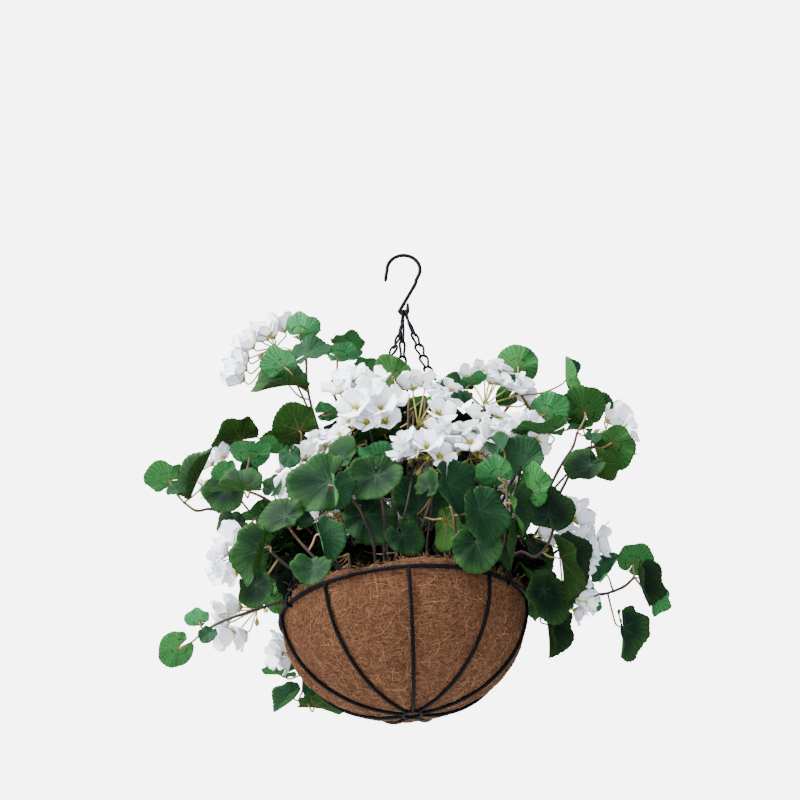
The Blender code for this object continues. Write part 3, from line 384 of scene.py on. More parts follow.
BLOOMS = {
    "bloom_top_left": Bloom(
        hole=(-40, 55),
        stem=[(-71, 145, 62), (-99, 212, 62), (-122, 263, 62), (-139, 299, 58), (-155, 323, 48)],
        florets=[
            (-146, 350, 60), (-166, 344, 24), (-187, 328, 22), (-203, 318, 40),
            (-197, 301, 22), (-200, 287, 44), (-176, 338, 58),
        ],
        faces=(-25, 25),
        cup=0.38,
    ),
    "bloom_left": Bloom(
        hole=(-100, -18),
        stem=[(-135, 35, -22), (-169, 47, -32), (-191, 59, -42), (-204, 67, -46)],
        florets=[
            (-205, 92, -66), (-220, 77, -60), (-226, 63, -48), (-222, 52, -62, 36),
            (-206, 51, -66, 36),
        ],
        faces=(-50, 15),
        cup=0.3,
    ),
    "bloom_left_inner": Bloom(
        hole=(-45, -55),
        stem=[(-83, 67, -74), (-104, 100, -72), (-120, 139, -70), (-127, 166, -66)],
        florets=[
            (-122, 195, -62), (-146, 184, -62, 27), (-140, 159, -94), (-130, 140, -92),
            (-121, 126, -92),
        ],
    ),
    "bloom_far_left": Bloom(
        hole=(-75, 22),
        stem=[(-126, 67, 22), (-176, 113, 22), (-205, 149, 20), (-219, 168, 18)],
        florets=[
            (-236, 185, 6, 31), (-243, 154, 10, 26), (-221, 193, 34, 30),
        ],
    ),
    "bloom_low_left": Bloom(
        hole=(-105, 38),
        stem=[(-120, 22, 46), (-147, 17, 46), (-167, 10, 42), (-179, 5, 40)],
        florets=[
            (-204, 9, 46), (-218, 3, 40), (-219, -11, 36), (-213, -24, 34),
            (-197, -24, 32),
        ],
        faces=(-60, -10),
        cup=0.4,
    ),
    "bloom_low_behind": Bloom(
        hole=(-88, 70),
        stem=[(-111, -18, 84), (-123, -25, 112), (-129, -38, 136)],
        florets=[
            (-147, -37, 140), (-144, -53, 146), (-154, -47, 126),
        ],
        faces=(-40, 10),
        cup=0.3,
    ),
    "bloom_top": Bloom(
        hole=(-10, -25),
        stem=[(-22, 97, -20), (-28, 151, -14), (-37, 206, -20), (-45, 241, -50)],
        florets=[
            (-59, 255, -104, 46), (-31, 254, -102, 46), (-68, 236, -92, 30), (-40, 272, -98),
            (-81, 276, -74, 45), (-64, 291, -70, 45), (-36, 290, -78, 44), (-13, 260, -86, 44),
            (-22, 237, -90), (-80, 221, -66, 27), (-53, 281, -60), (-46, 236, -96, 45),
        ],
        faces=(-8, 12),
        cup=0.2,
    ),
    "bloom_top_front": Bloom(
        hole=(10, -80),
        stem=[
            (-24, 67, -92), (-12, 93, -98), (1, 122, -98), (9, 161, -88),
            (12, 188, -76), (16, 212, -68), (17, 229, -66),
        ],
        florets=[
            (11, 280, -62), (27, 284, -72), (39, 270, -90), (44, 248, -120, 45),
            (60, 277, -64, 31), (55, 263, -84, 35),
        ],
    ),
    "bloom_centre": Bloom(
        hole=(32, -45),
        stem=[(28, 81, -56), (34, 125, -70), (34, 161, -82), (32, 189, -88)],
        florets=[
            (28, 207, -118), (1, 215, -106), (-6, 198, -100), (41, 225, -98),
            (45, 194, -112), (58, 208, -94),
        ],
        cup=0.2,
    ),
    "bloom_top_right": Bloom(
        hole=(45, 0),
        stem=[(62, 109, 0), (80, 182, -2), (92, 229, -4), (98, 254, -4)],
        florets=[
            (83, 293, 0), (101, 300, -16), (115, 286, -36), (130, 280, -28),
            (147, 273, 10), (153, 258, 20), (118, 301, -8),
        ],
    ),
    "bloom_right_inner": Bloom(
        hole=(40, -58),
        stem=[(70, 81, -82), (78, 125, -90), (85, 161, -88), (89, 190, -82)],
        florets=[
            (81, 213, -114), (67, 227, -100), (90, 243, -84), (112, 231, -106),
            (103, 214, -110), (116, 246, -88),
        ],
    ),
    "bloom_right_upper": Bloom(
        hole=(64, -14),
        stem=[(116, 81, -28), (133, 137, -42), (142, 178, -50), (147, 221, -58)],
        florets=[
            (131, 231, -78), (145, 225, -92), (161, 231, -92), (138, 211, -90),
            (164, 212, -96),
        ],
    ),
    "bloom_right": Bloom(
        hole=(104, 28),
        stem=[(153, 54, 24), (174, 69, 10), (191, 81, -4)],
        florets=[
            (213, 117, -20, 45), (197, 126, -8), (208, 90, -44, 44), (240, 90, -16, 44),
            (228, 79, -32), (217, 53, -30), (172, 100, -46), (189, 109, -44),
            (211, 4, 0, 30), (226, 14, -26, 29),
        ],
        faces=(105, 12),
        cup=0.34,
    ),
    "bloom_far_right": Bloom(
        hole=(80, 45),
        stem=[(131, 91, 46), (189, 161, 42), (228, 202, 36), (245, 223, 32)],
        florets=[
            (268, 213, 20), (250, 238, 22), (273, 226, 36), (258, 242, 42),
        ],
        faces=(100, 15),
        cup=0.3,
    ),
}

# The side away from the viewer: (azimuth, reach in mm, height above the rim in mm) of each stem's tip.
REAR_SPRAYS = {
    "spray_rear_left": (-138, 230, 120),
    "spray_rear_middle": (-166, 215, 60),
    "spray_rear_high": (166, 165, 185),
    "spray_rear_right": (128, 235, 90),
}
REAR_BLOOMS = {
    "bloom_rear_left": (-152, 170, 190),
    "bloom_rear_right": (139, 205, 135),
}
REAR_LEAVES = 4
REAR_FLORETS = 5
REAR_SPRAY_HOLE = 108
REAR_BLOOM_HOLE = 85
UMBEL_RADIUS = 28 * MM

LOBE_STEP = radians(50)
LOBES_EACH_SIDE = 3.375
RIDGES_PER_LOBE = 4
FINE_BLADE = (12, (0, 0.14, 0.32, 0.52, 0.72, 0.88, 1))
INNER_BLADE = (5, (0, 0.3, 0.66, 1))
BLADE_THICKNESS = 0.55 * MM
LOBE_CUT = 0.032
TOOTH_CUT = 0.026
PLEAT = 0.05
RIDGE = 0.0045
SMALL_LEAF = 50 * MM
DROOP = 0.05

PETALS = 5
PETAL_ROWS = (0, 0.2, 0.42, 0.62, 0.8, 0.93, 1)
PETAL_WIDTHS = (0.03, 0.088, 0.172, 0.23, 0.256, 0.212, 0.11)
PETAL_ACROSS = 7
PETAL_THICKNESS = 0.35 * MM

LEAF_SLOTS = ("stem_bark", "petiole", "leaf_upper", "leaf_under")
BLOOM_SLOTS = ("stem_bark", "pedicel", "petal", "stamen")


def in_basket(right, back, up):
    """A point given in the tilted basket's own frame, in metres."""
    return BASKET @ Vector((right, back, up))


def seen(across, up, depth):
    """The point that the viewer sees across and up mm from the rim's centre, depth mm behind the axis."""
    ray = RIM_CENTRE + (RIGHT * across + UP * up) * MM - VIEWER
    return VIEWER + ray * ((depth * MM - VIEWER.y) / ray.y)


def sight(point):
    """Where the viewer sees a point: mm across and up from the rim's centre."""
    ray = point - VIEWER
    ahead = Vector((0, cos(LOOK_UP), sin(LOOK_UP)))
    centre = RIM_CENTRE - VIEWER
    scale = centre.dot(ahead) / ray.dot(ahead)
    offset = ray * scale - centre
    return offset.dot(RIGHT) / MM, offset.dot(UP) / MM


def around(azimuth, reach, height):
    """A point round the basket: azimuth in degrees from the viewer's side, in mm from the axis and rim."""
    turn = radians(azimuth)
    return RIM_CENTRE + Vector((reach * sin(turn), -reach * cos(turn), height)) * MM


def looking(faces, rise):
    """The way a face looks: towards the side faces (0 the viewer, 90 right) and up by rise, in degrees."""
    turn, up = radians(faces), radians(rise)
    return Vector((cos(up) * sin(turn), -cos(up) * cos(turn), sin(up)))


class Sketch:
    """The points, faces, material numbers and surface marks of one piece."""

    def __init__(self):
        self.points = []
        self.marks = []
        self.tints = []
        self.faces = []
        self.slots = []
        self.smooth = []
        self.count = 0

    def add(self, points, faces, slot, marks=None, tint=0.5, smooth=True):
        points = np.asarray(points, float).reshape(-1, 3)
        marks = np.zeros_like(points) if marks is None else np.asarray(marks, float).reshape(-1, 3)
        self.points.append(points)
        self.marks.append(marks)
        self.tints.append(np.full(len(points), tint))
        for face in faces:
            self.faces.append([int(corner) + self.count for corner in face])
        self.slots.extend([slot] * len(faces))
        self.smooth.extend([smooth] * len(faces))
        self.count += len(points)

    def extend(self, faces, slot, smooth=True):
        """Faces on points that are already there, numbered in the whole piece."""
        self.faces.extend([int(corner) for corner in face] for face in faces)
        self.slots.extend([slot] * len(faces))
        self.smooth.extend([smooth] * len(faces))

    def finish(self, name, materials, replaced=()):
        mesh = bpy.data.meshes.new(name)
        mesh.from_pydata(np.concatenate(self.points).tolist(), [], self.faces)
        for material in materials:
            mesh.materials.append(material)
        mesh.polygons.foreach_set("material_index", self.slots)
        mesh.polygons.foreach_set("use_smooth", self.smooth)
        mark = mesh.attributes.new("mark", "FLOAT_VECTOR", "POINT")
        mark.data.foreach_set("vector", np.concatenate(self.marks).ravel())
        tint = mesh.attributes.new("tint", "FLOAT", "POINT")
        tint.data.foreach_set("value", np.concatenate(self.tints))
        mesh.validate()
        mesh.update()
        piece = bpy.data.objects.new(name, mesh)
        bpy.context.scene.collection.objects.link(piece)
        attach(piece, "root")
        if replaced:
            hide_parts(*replaced)
        return piece


def smooth_path(points, steps):
    """Points along a smooth curve through the given ones, steps to each span."""
    points = [Vector(point) for point in points]
    ends = [2 * points[0] - points[1], *points, 2 * points[-1] - points[-2]]
    path = []
    for a, b, c, d in zip(ends, ends[1:], ends[2:], ends[3:]):
        for step in range(steps):
            t = step / steps
            cubic = 3 * b - a - 3 * c + d
            square = 2 * a - 5 * b + 4 * c - d
            path.append(0.5 * (2 * b + (c - a) * t + square * t**2 + cubic * t**3))
    return [*path, points[-1]]


def tube(sketch, path, radii, sides, slot, tint=0.5, closed=False):
    """A round tube along the path; marks hold the run in metres, the turn round it and the share of the run."""
    path = [Vector(point) for point in path]
    count = len(path)
    radii = [radii] * count if isinstance(radii, float) else radii
    side = None
    points = []
    marks = []
    run = 0.0
    total = sum((b - a).length for a, b in zip(path, path[1:]))
    for number, place in enumerate(path):
        before = path[number - 1] if number or closed else place
        after = path[(number + 1) % count] if number + 1 < count or closed else place
        ahead = (after - before).normalized()
        side = ahead.orthogonal() if side is None else side
        side = (side - ahead * side.dot(ahead)).normalized()
        other = ahead.cross(side)
        if number:
            run += (place - path[number - 1]).length
        for turn in range(sides):
            angle = 2 * pi * turn / sides
            points.append(place + (side * cos(angle) + other * sin(angle)) * radii[number])
            marks.append((run, angle, run / total))
    faces = []
    rows = count if closed else count - 1
    for row in range(rows):
        nxt = (row + 1) % count
        for turn in range(sides):
            after = (turn + 1) % sides
            faces.append((row * sides + turn, row * sides + after, nxt * sides + after, nxt * sides + turn))
    if not closed:
        faces.append(list(range(sides))[::-1])
        faces.append([(count - 1) * sides + turn for turn in range(sides)])
    sketch.add(points, faces, slot, marks, tint)


def placed(frame, local):
    """Local points, as rows, moved into the world by a matrix."""
    matrix = np.array(frame)
    return local @ matrix[:3, :3].T + matrix[:3, 3]


def sheet(sketch, frame, upper, under, slots, marks, tint, closed_start=False):
    """A thin closed plate from a grid of upper points and one of under points, joined round its edge."""
    rows, columns = upper.shape[:2]
    grid = np.arange(rows * columns).reshape(rows, columns)
    start = sketch.count
    quads = np.stack([grid[:-1, :-1], grid[1:, :-1], grid[1:, 1:], grid[:-1, 1:]], -1).reshape(-1, 4)
    if closed_start:
        triangles = np.stack([grid[0, :-1], grid[1, :-1], grid[1, 1:]], -1)
        quads = quads[columns - 1 :]
        faces = [*triangles.tolist(), *quads.tolist()]
    else:
        faces = quads.tolist()
    sketch.add(placed(frame, upper.reshape(-1, 3)), faces, slots[0], marks, tint)
    turned = [face[::-1] for face in faces]
    sketch.add(placed(frame, under.reshape(-1, 3)), turned, slots[1], marks, tint)
    far = rows * columns
    loop = [*grid[:, 0].tolist(), *grid[-1, 1:].tolist(), *grid[-2::-1, -1].tolist()]
    if not closed_start:
        loop += grid[0, -2:0:-1].tolist()
        loop.append(loop[0])
    rim = [(start + b, start + a, start + far + a, start + far + b) for a, b in zip(loop, loop[1:])]
    sketch.extend(rim, slots[0], smooth=False)


def blade_frame(middle, ahead, face, size):
    """A blade's own frame: origin where the stalk meets it, +X to its tip, +Z out of its upper face."""
    ahead = (ahead - face * ahead.dot(face)).normalized()
    frame = Matrix((ahead, face.cross(ahead), face)).transposed().to_4x4()
    frame.translation = middle - ahead * (HEART_OFFSET * size)
    return frame


def leaf_blade(sketch, frame, size, fold, tone, mesh, draw):
    """A kidney-shaped, scalloped and pleated blade with raised veins beneath; mesh is (rays to a lobe, rings)."""
    rays, rings = mesh
    last = round(LOBES_EACH_SIDE * rays)
    steps = np.arange(-last, last + 1)
    phase = steps / rays
    spread = draw.uniform(0.99, 1.09)
    angle = phase * LOBE_STEP * spread
    share = np.array(rings)[:, None]
    lobe = 0.5 + 0.5 * np.cos(2 * pi * phase)
    ridge = np.cos(2 * pi * RIDGES_PER_LOBE * phase) * np.array([draw.uniform(0.4, 1.4) for _ in steps])
    edge = HEART_OFFSET * np.cos(angle) + np.sqrt(0.25 - (HEART_OFFSET * np.sin(angle)) ** 2)
    edge *= 1 - LOBE_CUT * draw.uniform(0.6, 1.9) * (1 - lobe) ** 2
    edge *= 1 - TOOTH_CUT * (steps % 2) * np.array([draw.uniform(0.5, 1.5) for _ in steps])
    past = np.clip((np.abs(angle) - radians(138)) / radians(36), 0, 1)
    edge *= 1 - 0.2 * past**2
    swing = [draw.uniform(0, 2 * pi) for _ in range(4)]
    edge *= 1 + 0.05 * np.sin(2 * angle + swing[0]) + 0.022 * np.sin(5 * angle + swing[2])
    radius = share * edge
    across = radius * np.sin(angle)
    along = radius * np.cos(angle)
    lift = PLEAT * share**1.4 * (lobe - 0.5) - DROOP * share**1.5 * np.cos(angle)
    lift += RIDGE * np.minimum(1, share * 2.2) * ridge + 0.016 * np.sign(angle) * past * share
    saddle = draw.uniform(0.03, 0.10)
    lift += saddle * share**1.6 * np.sin(2 * angle + swing[1]) + 0.032 * share**3 * np.sin(5 * angle + swing[2])
    lift += 0.016 * share**4 * np.sin(9 * angle + swing[3]) + draw.uniform(-0.07, 0.09) * share**2
    bend = radians(fold)
    crease = np.sqrt(across**2 + 0.0016) - 0.04
    lift = lift * cos(bend) + crease * sin(bend)
    across = across * (1 - (1 - cos(bend)) * np.minimum(1, np.abs(across) / 0.05))
    upper = np.stack([along, across, lift], -1) * size
    vein = (steps % rays == 0) * (1 - share) * np.minimum(1, share * 12)
    drop = BLADE_THICKNESS * (0.4 + 0.6 * (1 - share**4)) + vein * 0.5 * MM
    under = upper - np.array((0, 0, 1)) * drop[..., None]
    flat = angle / spread
    marks = np.stack([radius * np.cos(flat), radius * np.sin(flat), share + 0 * angle], -1)
    # A leaf's tone sets its tint: partly its own colour, partly painted light and shade.
    if tone is None:
        tone = draw.uniform(0.6, 1) if size <= SMALL_LEAF else draw.uniform(0, 0.45)
    sheet(sketch, frame, upper, under, (2, 3), marks, tone, closed_start=True)


def stem_start(path, place):
    """The stem's nearest point above the soil."""
    return min(path[3:], key=lambda point: (point - place).length)


def build_leaf(sketch, path, frame, size, fold, tone, mesh, draw):
    """A blade and its stalk, which leaves the stem along it and turns to meet the blade from beneath."""
    leaf_blade(sketch, frame, size, fold, tone, mesh, draw)
    heart = frame.translation
    start = stem_start(path, heart)
    face = frame.col[2].xyz
    reach = (heart - start).length
    under = heart - face * min(0.3 * reach, 9 * MM) - frame.col[0].xyz * (0.1 * reach)
    middle = start.lerp(under, 0.55) + Vector((0, 0, -0.06 * reach))
    fine = mesh is FINE_BLADE
    stalk = smooth_path([start, middle, under, heart - face * (0.2 * MM)], 4 if fine else 3)
    count = len(stalk)
    radii = [PETIOLE_WIRE / 2 * (1.35 - 0.35 * step / count) for step in range(count)]
    tube(sketch, stalk, radii, 6 if fine else 4, 1, draw.random())


def rooted(hole, points):
    """A stem's path from the bottom of its hole, straight up out of the soil and on through the points."""
    right, back = (value * MM for value in hole)
    foot = in_basket(right, back, GAP - SOIL_DROP - HOLE_DEPTH)
    neck = in_basket(right, back, 6 * MM - SOIL_DROP)
    return [foot, neck, *points]


def stem_radii(count, thickness, tip):
    """A stem's radii: it thins towards its tip and swells a little at each joint."""
    radii = []
    for step in range(count):
        share = step / (count - 1)
        joint = 0.12 if step and step % 4 == 0 else 0
        radii.append(thickness / 2 * (1 - (1 - tip) * share + joint))
    return radii


def build_spray(name, path, blades, materials, replaced, mesh=FINE_BLADE):
    """A leafy stem with its leaves: blades are (frame, size, fold, tone with painted light and shade)."""
    draw = random.Random(name)
    sketch = Sketch()
    path = smooth_path(path, 4)
    tube(sketch, path, stem_radii(len(path), STEM_WIRE, 0.8), 8 if mesh is FINE_BLADE else 6, 0, draw.random())
    for frame, size, fold, tone in blades:
        build_leaf(sketch, path, frame, size, fold, tone, mesh, draw)
    return sketch.finish(name + "_leaves", [materials[slot] for slot in LEAF_SLOTS], replaced)


def petal(sketch, frame, size, turn, cup, draw):
    """One broad petal with a waved, notched end, as a thin closed shell; cup lifts its tip."""
    share = np.array(PETAL_ROWS)[:, None]
    across = np.linspace(-1, 1, PETAL_ACROSS)
    width = np.array(PETAL_WIDTHS)[:, None] * draw.uniform(0.95, 1.12)
    notch = 0.075 * np.exp(-((across / 0.28) ** 2))
    length = 0.5 * draw.uniform(0.92, 1.06) * (1 - 0.35 * max(0, cup)) * (1 - 0.17 * across**2 * share - notch * share)
    radial = 0.03 + share * length
    side = width * across
    lift = -0.2 * (1 - share) ** 2 + (cup + draw.uniform(-0.05, 0.05)) * share**1.5
    lift = lift + 0.07 * across * share**0.7 + 0.045 * share**2 * np.sin(2.4 * across + draw.uniform(0, 6))
    lift = lift - 0.06 * across**2 * share + 0.012 * share**3 * np.cos(6 * across + draw.uniform(0, 6)) - 0.05 * share**4
    upper = np.stack([radial + 0 * side, side, lift], -1) * size
    under = upper - np.array((0, 0, PETAL_THICKNESS))
    marks = np.stack([share + 0 * side, across + 0 * side, side], -1)
    sheet(sketch, frame @ Matrix.Rotation(turn, 4, "Z"), upper, under, (2, 2), marks, draw.random())


def sepals(sketch, frame, size, tint):
    """Five narrow pointed sepals behind a floret, each a thin wedge."""
    for number in range(5):
        turn = frame @ Matrix.Rotation(2 * pi * (number + 0.5) / 5, 4, "Z")
        points = [
            (0.01, -0.045, -0.2), (0.01, 0.045, -0.2), (0.02, 0, -0.24),
            (0.11, -0.045, -0.125), (0.11, 0.045, -0.125), (0.12, 0, -0.155), (0.26, 0, -0.09),
        ]
        faces = [(0, 3, 4, 1), (1, 4, 5, 2), (2, 5, 3, 0), (3, 6, 4), (4, 6, 5), (5, 6, 3), (0, 1, 2)]
        local = np.array(points) * size
        sketch.add(placed(turn, local), faces, 1, tint=tint, smooth=False)


def stamens(sketch, frame, size, draw):
    """A tuft of short yellow stamens in the floret's throat."""
    for number in range(6):
        lean = 0.28 if number else 0
        angle = 2 * pi * number / 5 + draw.uniform(-0.3, 0.3)
        way = Vector((lean * cos(angle), lean * sin(angle), 1)).normalized()
        foot = frame @ (way * (-0.17 * size))
        tip = frame @ (way * (draw.uniform(-0.03, 0.02) * size))
        tube(sketch, [foot, foot.lerp(tip, 0.7), tip], [0.35 * MM, 0.4 * MM, 0.75 * MM], 5, 3, draw.random())


def build_floret(sketch, place, facing, base, size, cup, draw):
    """A floret on its pedicel, with sepals behind and stamens in its throat."""
    frame = Matrix.Translation(place) @ facing.to_track_quat("Z", "Y").to_matrix().to_4x4()
    frame = frame @ Matrix.Rotation(draw.uniform(0, 2 * pi), 4, "Z")
    cup += draw.uniform(-0.12, 0.12)
    for number in range(PETALS):
        turn = 2 * pi * number / PETALS + draw.uniform(-0.12, 0.12)
        petal(sketch, frame, size * (1.1 if number < 2 else 0.95), turn, cup, draw)
    tint = draw.random()
    sepals(sketch, frame, size, tint)
    stamens(sketch, frame, size, draw)
    back = place - facing * (0.2 * size)
    middle = back - facing * (0.16 * (back - base).length)
    path = smooth_path([base, base.lerp(middle, 0.5) + Vector((0, 0, MM)), middle, back, place - facing * (0.13 * size)], 3)
    radii = [0.7 * PEDICEL_WIRE] * (len(path) - 4) + [PEDICEL_WIRE * share for share in (0.75, 1.1, 1.45, 0.8)]
    tube(sketch, path, radii, 6, 1, tint)


def build_bud(sketch, base, way, size, draw):
    """A closed bud that hangs on its own pedicel."""
    end = base + way * draw.uniform(0.6, 1) * 20 * MM
    path = smooth_path([base, base.lerp(end, 0.6) + Vector((0, 0, 2 * MM)), end, end + (way - Vector((0, 0, 0.7))) * size], 3)
    bulge = [0.5, 0.5, 0.5, 0.5, 0.5, 0.6, 1.0, 2.0, 2.3, 0.6]
    radii = [PEDICEL_WIRE / 2 * share / 0.5 * 0.9 for share in bulge]
    tube(sketch, path, radii, 6, 1, draw.random())


def between(places, top):
    """Places for more florets: in the gaps between neighbours, a little nearer to the stalk's end."""
    spots = []
    for number, place in enumerate(places):
        for other in places[number + 1 :]:
            if FLORET_SIZE * 0.5 < (other - place).length < FLORET_SIZE:
                spot = place.lerp(other, 0.5).lerp(top, 0.16)
                if all((spot - near).length > FLORET_SIZE * 0.42 for near in (*places, *spots)):
                    spots.append(spot)
    return spots


def build_bloom(name, path, florets, materials, replaced, turned=Vector(), cup=0.12):
    """An umbel: a bare stem, a pedicel to each floret, given as (place, size), and a few buds beneath."""
    places = [place for place, _ in florets]
    draw = random.Random(name)
    sketch = Sketch()
    crown = RIM_CENTRE + Vector((0, 0, CROWN_HEIGHT))
    down = (path[-2] - path[-1]).normalized()
    top = path[-1]
    line = smooth_path(path, 4)
    tube(sketch, line, stem_radii(len(line), PEDUNCLE_WIRE, 0.8), 8, 0, draw.random())
    for number, (place, size) in enumerate(florets):
        base = top + down * (0.5 * MM * number)
        facing = (place - base).normalized() + CROWN_PULL * (place - crown).normalized() + turned
        build_floret(sketch, place, facing.normalized(), base, size * draw.uniform(0.92, 1.1), cup, draw)
    for place in between(places, top) if len(places) > 3 else ():
        base = top + down * (0.5 * MM * draw.randrange(len(places)))
        facing = (place - base).normalized() + 0.4 * CROWN_PULL * (place - crown).normalized()
        facing += Vector((draw.gauss(0, 0.3), draw.gauss(0, 0.3), draw.gauss(0, 0.3)))
        facing += turned
        build_floret(sketch, place, facing.normalized(), base, FLORET_SIZE * draw.uniform(0.8, 0.98), cup, draw)
    for _ in range(3):
        angle = draw.uniform(0, 2 * pi)
        way = Vector((cos(angle), sin(angle), -0.2)).normalized()
        build_bud(sketch, top + down * MM, way, 8 * MM, draw)
    return sketch.finish(name + "_flowers", [materials[slot] for slot in BLOOM_SLOTS], replaced)


def rear_hole(azimuth, reach):
    """A hole in the soil on the far side, (right, back) in mm."""
    turn = radians(azimuth)
    return (reach * sin(turn), -reach * cos(turn))


def rear_stem(azimuth, reach, height):
    """A stem's points on the far side: up, out over the lip and a little down at the tip."""
    return [around(azimuth, reach * out, height * rise) for out, rise in ((0.55, 0.8), (0.8, 1.05), (1, 1))]


def rear_blades(stem, azimuth):
    """Leaves at both sides of a stem on the far side, their faces turned out and up."""
    blades = []
    for number in range(REAR_LEAVES):
        side = (-1) ** number
        share = number / (REAR_LEAVES - 1)
        start = stem[0].lerp(stem[-1], share)
        swing = radians(azimuth + side * (60 - 30 * share))
        ahead = Vector((sin(swing), -cos(swing), 0.1 * side))
        size = (62 - 16 * share) * MM
        face = looking(azimuth + 25 * side, 40 + 12 * side)
        blades.append((blade_frame(start + ahead * (30 * MM + size / 2), ahead, face, size), size, 15, None))
    return blades


def rear_florets(base, azimuth, count=REAR_FLORETS):
    """Floret places on a dome round the end of a stem on the far side."""
    outward = looking(azimuth, 45)
    turn = outward.orthogonal().normalized()
    places = [base + outward * UMBEL_RADIUS]
    for number in range(count - 1):
        spin = Matrix.Rotation(2 * pi * number / (count - 1), 3, outward)
        places.append(base + (outward * 0.45 + spin @ turn * 0.9) * UMBEL_RADIUS)
    return places


def arc(centre, radius, start, end, count):
    """Points on an arc in the X-Z plane, angles in degrees from +X towards +Z."""
    for step in range(count):
        angle = radians(start + (end - start) * step / (count - 1))
        yield centre + Vector((cos(angle), 0, sin(angle))) * radius


def bowl_point(radius, depth, turn, fall):
    """A point on an ellipsoidal bowl: turn is the azimuth, fall runs from 0 at the rim to 90 degrees."""
    reach = radius * cos(fall)
    return Vector((reach * sin(turn), -reach * cos(turn), -depth * sin(fall)))


def build_hook(steel):
    """A round crook over the support, a slanting shank and a small open eye for the chains."""
    crook_centre = Vector((0, 0, HOOK_WIRE / 2 - COATING - CROOK_RADIUS))
    path = [HOOK_TIP, HOOK_TIP.lerp(crook_centre + Vector((-CROOK_RADIUS, 0, 0)), 0.5) + Vector((-0.3 * MM, 0, 0))]
    path += arc(crook_centre, CROOK_RADIUS, 182, -20, 34)
    path += [HOOK_SHANK + Vector((1.5, 0, 6)) * MM, HOOK_SHANK]
    path += arc(EYE_CENTRE, EYE_RADIUS, 165, 360, 18)
    path += [HOOK_END]
    sketch = Sketch()
    line = smooth_path(path, 2)
    thick = HOOK_WIRE / 2 + COATING
    radii = [0.7 * thick, *[thick] * (len(line) - 2), 0.7 * thick]
    tube(sketch, line, radii, 14, 0)
    sketch.finish("hook_wire", [steel], ["hook"])


def chain_seat(name):
    """Where the top wire of a chain rests in the hook's eye: two side by side and the third on them."""
    reach = EYE_RADIUS - HOOK_WIRE / 2 - CHAIN_WIRE / 2 - GAP
    apart = SEAT_SPREAD * reach
    low = -sqrt(reach**2 - apart**2)
    if name == "back":
        return EYE_CENTRE + Vector((0, 0, low + sqrt((CHAIN_WIRE + GAP) ** 2 - apart**2) + GAP))
    return EYE_CENTRE + Vector((apart if name == "right" else -apart, 0, low))


def hanging(name, start, run, share):
    """A point on a chain: straight, but drawn a little towards its neighbour near the hook."""
    near = share / CHAIN_NEAR
    return start + run * share + RIGHT * (CHAIN_BOW[name] * near * math_e ** (1 - near))


def build_chain(name, azimuth, steel):
    """A chain of hairpin links, each with its legs curled on the next, and a loop round the rim."""
    sketch = Sketch()
    outward = Vector((sin(azimuth), -cos(azimuth), 0))
    half = RIM_WIRE / 2 + GAP + CHAIN_WIRE / 2
    hanger = []
    for across, up in RIM_LOOP:
        place = outward * (RIM_RADIUS + across * half)
        hanger.append(in_basket(place.x, place.y, up * half))
    loop = smooth_path([*hanger, hanger[0]], 4)[:-1]
    tube(sketch, loop, CHAIN_WIRE / 2 + COATING, 8, 0, closed=True)
    start = chain_seat(name)
    run = hanger[-1] - start
    count = round(run.length / LINK_PITCH)
    wire = CHAIN_WIRE * 0.55
    right = [(0.45, 0.02, 0), (0.85, 0.12, 0), (1, 0.3, 0), (0.86, 0.52, 0.1), (0.5, 0.8, 0.5), (0.36, 0.96, 1), (0.5, 1.09, 0.6), (0.62, 1.08, -0.4)]
    left = [(-across, down, -out) for across, down, out in reversed(right)]
    for number in range(count):
        top, end = (hanging(name, start, run, step / count) for step in (number, number + 1))
        along = (end - top).normalized()
        pitch = (end - top).length
        wide = (Vector((0, 1, 0)) - along * along.y).normalized()
        closing = 0.6 if number == count - 1 else 1
        turned = Matrix.Rotation(CHAIN_TWISTS[name] * min(1, number / 3), 3, along)
        across_way = turned @ wide
        proud = along.cross(across_way)
        points = []
        for across, down, out in (*left, *right):
            spot = top + across_way * (across * closing * LINK_HALF_WIDTH) + along * (down * pitch)
            points.append(spot + proud * (out * wire))
        tube(sketch, smooth_path(points, 3), CHAIN_WIRE / 2 + COATING, 6, 0)
    sketch.finish(f"chain_{name}_links", [steel], ["chain_" + name])


def build_frame(steel):
    """The rim ring, the ribs under it and the small ring at the base, as smooth round wire."""
    rim = Sketch()
    path = [BASKET @ bowl_point(RIM_RADIUS, 0, 2 * pi * step / 120, 0) for step in range(120)]
    tube(rim, path, RIM_WIRE / 2, 14, 0, closed=True)
    rim.finish("rim_wire", [steel], ["rim_ring"])
    base = Sketch()
    low = Vector((0, 0, -BOWL_DEPTH))
    path = [BASKET @ (low + bowl_point(BASE_RING_RADIUS, 0, 2 * pi * step / 36, 0)) for step in range(36)]
    tube(base, path, RIB_WIRE / 2, 12, 0, closed=True)
    base.finish("base_wire", [steel], ["base_ring"])
    last = atan2(sqrt(RIM_RADIUS**2 - BASE_RING_RADIUS**2), BASE_RING_RADIUS)
    for number in range(RIB_COUNT):
        turn = RIB_START + 2 * pi * number / RIB_COUNT
        rib = Sketch()
        path = [BASKET @ bowl_point(RIM_RADIUS, BOWL_DEPTH, turn, last * step / 36) for step in range(37)]
        tube(rib, path, RIB_WIRE / 2, 12, 0)
        rib.finish(f"rib_{number + 1}_wire", [steel], [f"rib_{number + 1}"])


def lip_height(turn):
    return LINER_LIP + LIP_WAVE * (sin(5 * turn) + 0.6 * sin(11 * turn + 1))


